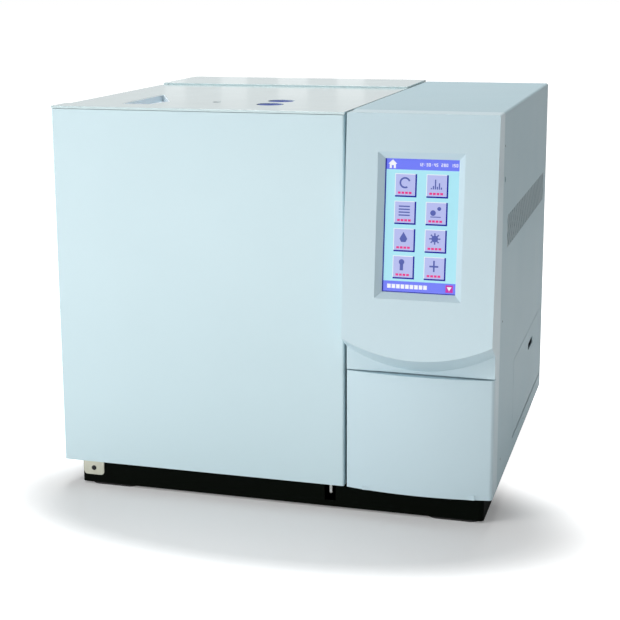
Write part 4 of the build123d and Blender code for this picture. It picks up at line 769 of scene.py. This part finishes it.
# ---- knobs: a pointer on each, a scale behind ---------------------------------------------
scale_places = []
for index in (1, 2, 3):
    knob_lo, knob_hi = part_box(f"knob_{index}")
    knob_x = (knob_lo.x + knob_hi.x) / 2
    knob_z = (knob_lo.z + knob_hi.z) / 2
    radius = (knob_hi.x - knob_lo.x) / 2
    flat_piece(f"knob_pointer_{index}", [rectangle(knob_x - 0.6 * MM, knob_x + 0.6 * MM, knob_z + 0.3 * radius,
                                                   knob_z + 0.88 * radius)],
               knob_lo.y + 0.1 * MM, 0.35 * MM, gauge_card, f"knob_{index}")
    for step in range(21):
        angle = radians(240) - radians(300) * step / 20
        size = 1.3 if step % 5 == 0 else 0.7
        place = dial_point(knob_x, knob_z, radius + 4.0 * MM, angle, CHASSIS_FRONT)
        scale_places.append((place, (pi / 2, -(angle - pi / 2), 0.0), size))
repeat("knob_scales", scale_places, tick_shape, gauge_ink, "cabinet")

# ---- parts on the circuit board -----------------------------------------------------------
board_face = board_lo.x + 7.6 * MM      # outer face of the board on its posts
bm = bmesh.new()
add_lathe(bm, [(0.0, 0.0), (3.0 * MM, 0.0), (3.0 * MM, 0.9 * MM), (2.8 * MM, 1.1 * MM), (3.0 * MM, 1.3 * MM),
               (3.0 * MM, 8.6 * MM), (2.7 * MM, 9.0 * MM), (0.0, 8.9 * MM)], 20)
can_shape = shape_object("capacitor_shape", bm)
can_places = [((board_face, board_lo.y + (78.0 + 11.0 * k) * MM, board_lo.z + (116.0 + 9.0 * (k % 2)) * MM),
               FACING_RIGHT, 0.8 + 0.25 * (k % 3)) for k in range(9)]
repeat("board_capacitors", can_places, can_shape, aluminium, "cabinet")
chip_shape = flat_shape("small_chip_shape", rectangle(-0.8 * MM, 0.8 * MM, -1.6 * MM, 1.6 * MM), 0.9 * MM)
chip_places = [((board_face, board_lo.y + (92.0 + 8.0 * i) * MM, board_lo.z + (208.0 + 7.0 * j) * MM),
                FACING_RIGHT, 1.0) for i in range(11) for j in range(4)]
chip_places += [((board_face, board_lo.y + (20.0 + 9.0 * i) * MM, board_lo.z + (18.0 + 6.0 * j) * MM),
                 FACING_RIGHT, 1.0) for i in range(9) for j in range(3)]
repeat("board_small_chips", chip_places, chip_shape, black_plastic, "cabinet")
plug_shape = flat_shape("board_plug_shape", rectangle(-4.0 * MM, 4.0 * MM, -12.0 * MM, 12.0 * MM), 7.0 * MM)
plug_places = [((board_face, board_lo.y + 222.0 * MM, board_lo.z + (24.0 + 34.0 * k) * MM), FACING_RIGHT, 1.0)
               for k in range(4)]
repeat("board_plugs", plug_places, plug_shape, gauge_card, "cabinet")

# ---- wound column -------------------------------------------------------------------------
column_lo, column_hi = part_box("column_basket")
oven_x = (column_lo.x + column_hi.x) / 2
oven_z = (column_lo.z + column_hi.z) / 2
basket_r = (column_hi.x - column_lo.x) / 2 - 2.2 * MM
coil_major = basket_r + 5.9 * MM
basket_y0 = column_lo.y + 1.5 * MM
coil_y = basket_y0 + 30.0 * MM
WINDINGS = 14
bm = bmesh.new()
add_ring(bm, coil_major, 0.55 * MM, 128, 8)
winding_shape = shape_object("winding_shape", bm)
winding_places = []
for index in range(WINDINGS):
    angle = 2 * pi * index / WINDINGS
    scale = 1.0 + 3.1 * MM * cos(angle) / coil_major
    winding_places.append(((oven_x, coil_y + 3.1 * MM * sin(angle), oven_z), FACING_FRONT, scale))
repeat("column_windings", winding_places, winding_shape, column_amber, "cabinet", smooth=True)

for shape in shapes:
    bpy.data.objects.remove(shape)

# ---- floor, light and camera --------------------------------------------------------------
FLOOR_REACH = 30.0
FLOOR_T = 0.01
FLOOR_GREY = 0.80
NEAR_GLOW = 0.15                       # glow of the table beside the part, kept low as painted shadow
BOUNCE = 0.22                          # share of it that lights the part
SHADOW_SHIFT = (-0.02, 0.45, 0.0)      # the table's painted shadow zone: an oval round the part
SHADOW_SCALE = (0.85, 1.8, 1.0)
SHADOW_NEAR = 0.24
SHADOW_FAR = 0.40
WORLD_LEVEL = 0.22
WORLD_REFLECTED = 0.28
CARD_LEVEL = 0.66
WINDOW_LEVEL = 0.92
WINDOW_SPANS = ((-1.42, -1.34), (-1.20, -1.10), (-0.98, -0.87), (-0.76, -0.66))
SOFTBOXES = {                          # place, target, width, height, watts
    "key_front": ((-3.1, -2.5, 1.5), (0.0, 0.0, 0.2), 1.6, 1.4, 66.0),
    "top_box": ((-0.2, 0.75, 2.6), (0.0, 0.0, 0.3), 1.4, 1.4, 36.0),
    "high_front": ((-0.6, -1.7, 2.4), (0.0, -0.2, 0.2), 1.4, 0.8, 11.0),
    "low_front": ((-0.5, -1.9, 0.12), (0.0, -0.2, 0.08), 1.6, 0.25, 6.0)}


def bare_material(name):
    """A material with only its output and a white glow, for the stage."""
    material = bpy.data.materials.new(name)
    material.use_nodes = True
    tree = material.node_tree
    tree.nodes.clear()
    output = tree.nodes.new("ShaderNodeOutputMaterial")
    glow = tree.nodes.new("ShaderNodeEmission")
    glow.inputs["Color"].default_value = (1.0, 1.0, 1.0, 1.0)
    return material, tree, output, glow


def make_floor():
    """A white table: its glow is lower in an oval round the part, a painted shadow over the lamps' own, and
    plain white farther off.
    """
    bm = bmesh.new()
    add_prism(bm, rectangle(-FLOOR_REACH, FLOOR_REACH, -FLOOR_REACH, FLOOR_REACH), Vector((1, 0, 0)),
              Vector((0, 1, 0)), Vector((0, 0, -1)), Vector((0, 0, 0)), FLOOR_T)
    floor = bmesh_object("floor", bm)
    material, tree, output, glow = bare_material("white_table")
    diffuse = tree.nodes.new("ShaderNodeBsdfDiffuse")
    diffuse.inputs["Color"].default_value = (FLOOR_GREY, FLOOR_GREY, FLOOR_GREY, 1.0)
    total = tree.nodes.new("ShaderNodeAddShader")
    coordinates = tree.nodes.new("ShaderNodeTexCoord")
    mapping = tree.nodes.new("ShaderNodeMapping")
    mapping.inputs["Location"].default_value = SHADOW_SHIFT
    mapping.inputs["Scale"].default_value = SHADOW_SCALE
    distance = tree.nodes.new("ShaderNodeVectorMath")
    distance.operation = "LENGTH"
    tree.links.new(coordinates.outputs["Object"], mapping.inputs["Vector"])
    tree.links.new(mapping.outputs["Vector"], distance.inputs[0])
    fade = tree.nodes.new("ShaderNodeMapRange")
    fade.interpolation_type = "SMOOTHSTEP"
    fade.inputs["From Min"].default_value = SHADOW_NEAR
    fade.inputs["From Max"].default_value = SHADOW_FAR
    fade.inputs["To Min"].default_value = NEAR_GLOW
    fade.inputs["To Max"].default_value = 1.0
    tree.links.new(distance.outputs["Value"], fade.inputs["Value"])
    path = tree.nodes.new("ShaderNodeLightPath")
    share = math_node(tree, "MULTIPLY_ADD", path.outputs["Is Camera Ray"], 1.0 - BOUNCE, BOUNCE)
    tree.links.new(math_node(tree, "MULTIPLY", share, fade.outputs["Result"]), glow.inputs["Strength"])
    tree.links.new(diffuse.outputs[0], total.inputs[0])
    tree.links.new(glow.outputs[0], total.inputs[1])
    tree.links.new(total.outputs[0], output.inputs["Surface"])
    floor.data.materials.append(material)


def make_card(name, x0, x1, z0, z1, y, level):
    """A light card behind the part that only its glossy faces see."""
    mesh = bpy.data.meshes.new(name)
    mesh.from_pydata([(x0, y, z0), (x1, y, z0), (x1, y, z1), (x0, y, z1)], [], [(0, 1, 2, 3)])
    card = linked(name, mesh)
    material, tree, output, glow = bare_material(name)
    clear = tree.nodes.new("ShaderNodeBsdfTransparent")
    glow.inputs["Strength"].default_value = level
    path = tree.nodes.new("ShaderNodeLightPath")
    choice = tree.nodes.new("ShaderNodeMixShader")
    tree.links.new(path.outputs["Is Glossy Ray"], choice.inputs[0])
    tree.links.new(clear.outputs[0], choice.inputs[1])
    tree.links.new(glow.outputs[0], choice.inputs[2])
    tree.links.new(choice.outputs[0], output.inputs["Surface"])
    mesh.materials.append(material)


def make_world(level, reflected):
    """White to the camera, a plain level of light to the part, another in its reflections."""
    world = bpy.data.worlds.new("studio")
    bpy.context.scene.world = world
    world.use_nodes = True
    tree = world.node_tree
    tree.nodes.clear()
    output = tree.nodes.new("ShaderNodeOutputWorld")
    background = tree.nodes.new("ShaderNodeBackground")
    background.inputs["Color"].default_value = (1.0, 1.0, 1.0, 1.0)
    path = tree.nodes.new("ShaderNodeLightPath")
    seen = math_node(tree, "MAXIMUM", path.outputs["Is Camera Ray"], path.outputs["Is Transmission Ray"])
    glossy = math_node(tree, "MULTIPLY_ADD", path.outputs["Is Glossy Ray"], reflected - level, level)
    strength = math_node(tree, "MAXIMUM", seen, glossy)
    tree.links.new(strength, background.inputs["Strength"])
    tree.links.new(background.outputs[0], output.inputs["Surface"])


def make_softbox(name, place, target, width, height, power):
    data = bpy.data.lights.new(name, "AREA")
    data.shape = "RECTANGLE"
    data.size = width
    data.size_y = height
    data.energy = power
    lamp = linked(name, data)
    lamp.location = place
    lamp.rotation_mode = "QUATERNION"
    lamp.rotation_quaternion = (Vector(target) - Vector(place)).to_track_quat("-Z", "Y")


make_floor()
make_world(WORLD_LEVEL, WORLD_REFLECTED)
make_card("back_wall", -5.0, 5.0, 0.0, 3.0, 3.05, CARD_LEVEL)
for number, (x0, x1) in enumerate(WINDOW_SPANS):
    make_card(f"window_{number + 1}", x0, x1, 0.3, 0.757, 3.0, WINDOW_LEVEL)
for name, setting in SOFTBOXES.items():
    make_softbox(name, *setting)

# the camera's place is given from the oven door's left, front, lower corner
CAMERA_X = 0.76008
CAMERA_Y = -1.52258
CAMERA_Z = 0.60392
YAW = radians(16.24931)
PITCH = radians(-11.21932)
ROLL = radians(0.33119)
FOCAL_PIXELS = 1367.35
IMAGE_PIXELS = 620.0
CENTRE_X = 300.0
CENTRE_Y = 250.0
SENSOR = 36.0
turn = Matrix.Rotation(YAW, 3, "Z") @ Matrix.Rotation(PITCH, 3, "X") @ Matrix.Rotation(ROLL, 3, "Y")
camera_data = bpy.data.cameras.new("camera")
camera_data.sensor_width = SENSOR
camera_data.lens = FOCAL_PIXELS / IMAGE_PIXELS * SENSOR
camera_data.shift_x = (IMAGE_PIXELS / 2 - CENTRE_X) / IMAGE_PIXELS
camera_data.shift_y = (CENTRE_Y - IMAGE_PIXELS / 2) / IMAGE_PIXELS
camera_data.clip_end = 100.0
camera = linked("camera", camera_data)
right_axis = turn.col[0]
forward_axis = turn.col[1]
up_axis = turn.col[2]
place = Vector((LEFT + CAMERA_X, FRONT + CAMERA_Y, BOTTOM + CAMERA_Z))
camera.matrix_world = Matrix((
    (right_axis.x, up_axis.x, -forward_axis.x, place.x),
    (right_axis.y, up_axis.y, -forward_axis.y, place.y),
    (right_axis.z, up_axis.z, -forward_axis.z, place.z),
    (0.0, 0.0, 0.0, 1.0)))
bpy.context.scene.camera = camera
bpy.context.scene.view_settings.view_transform = "Standard"
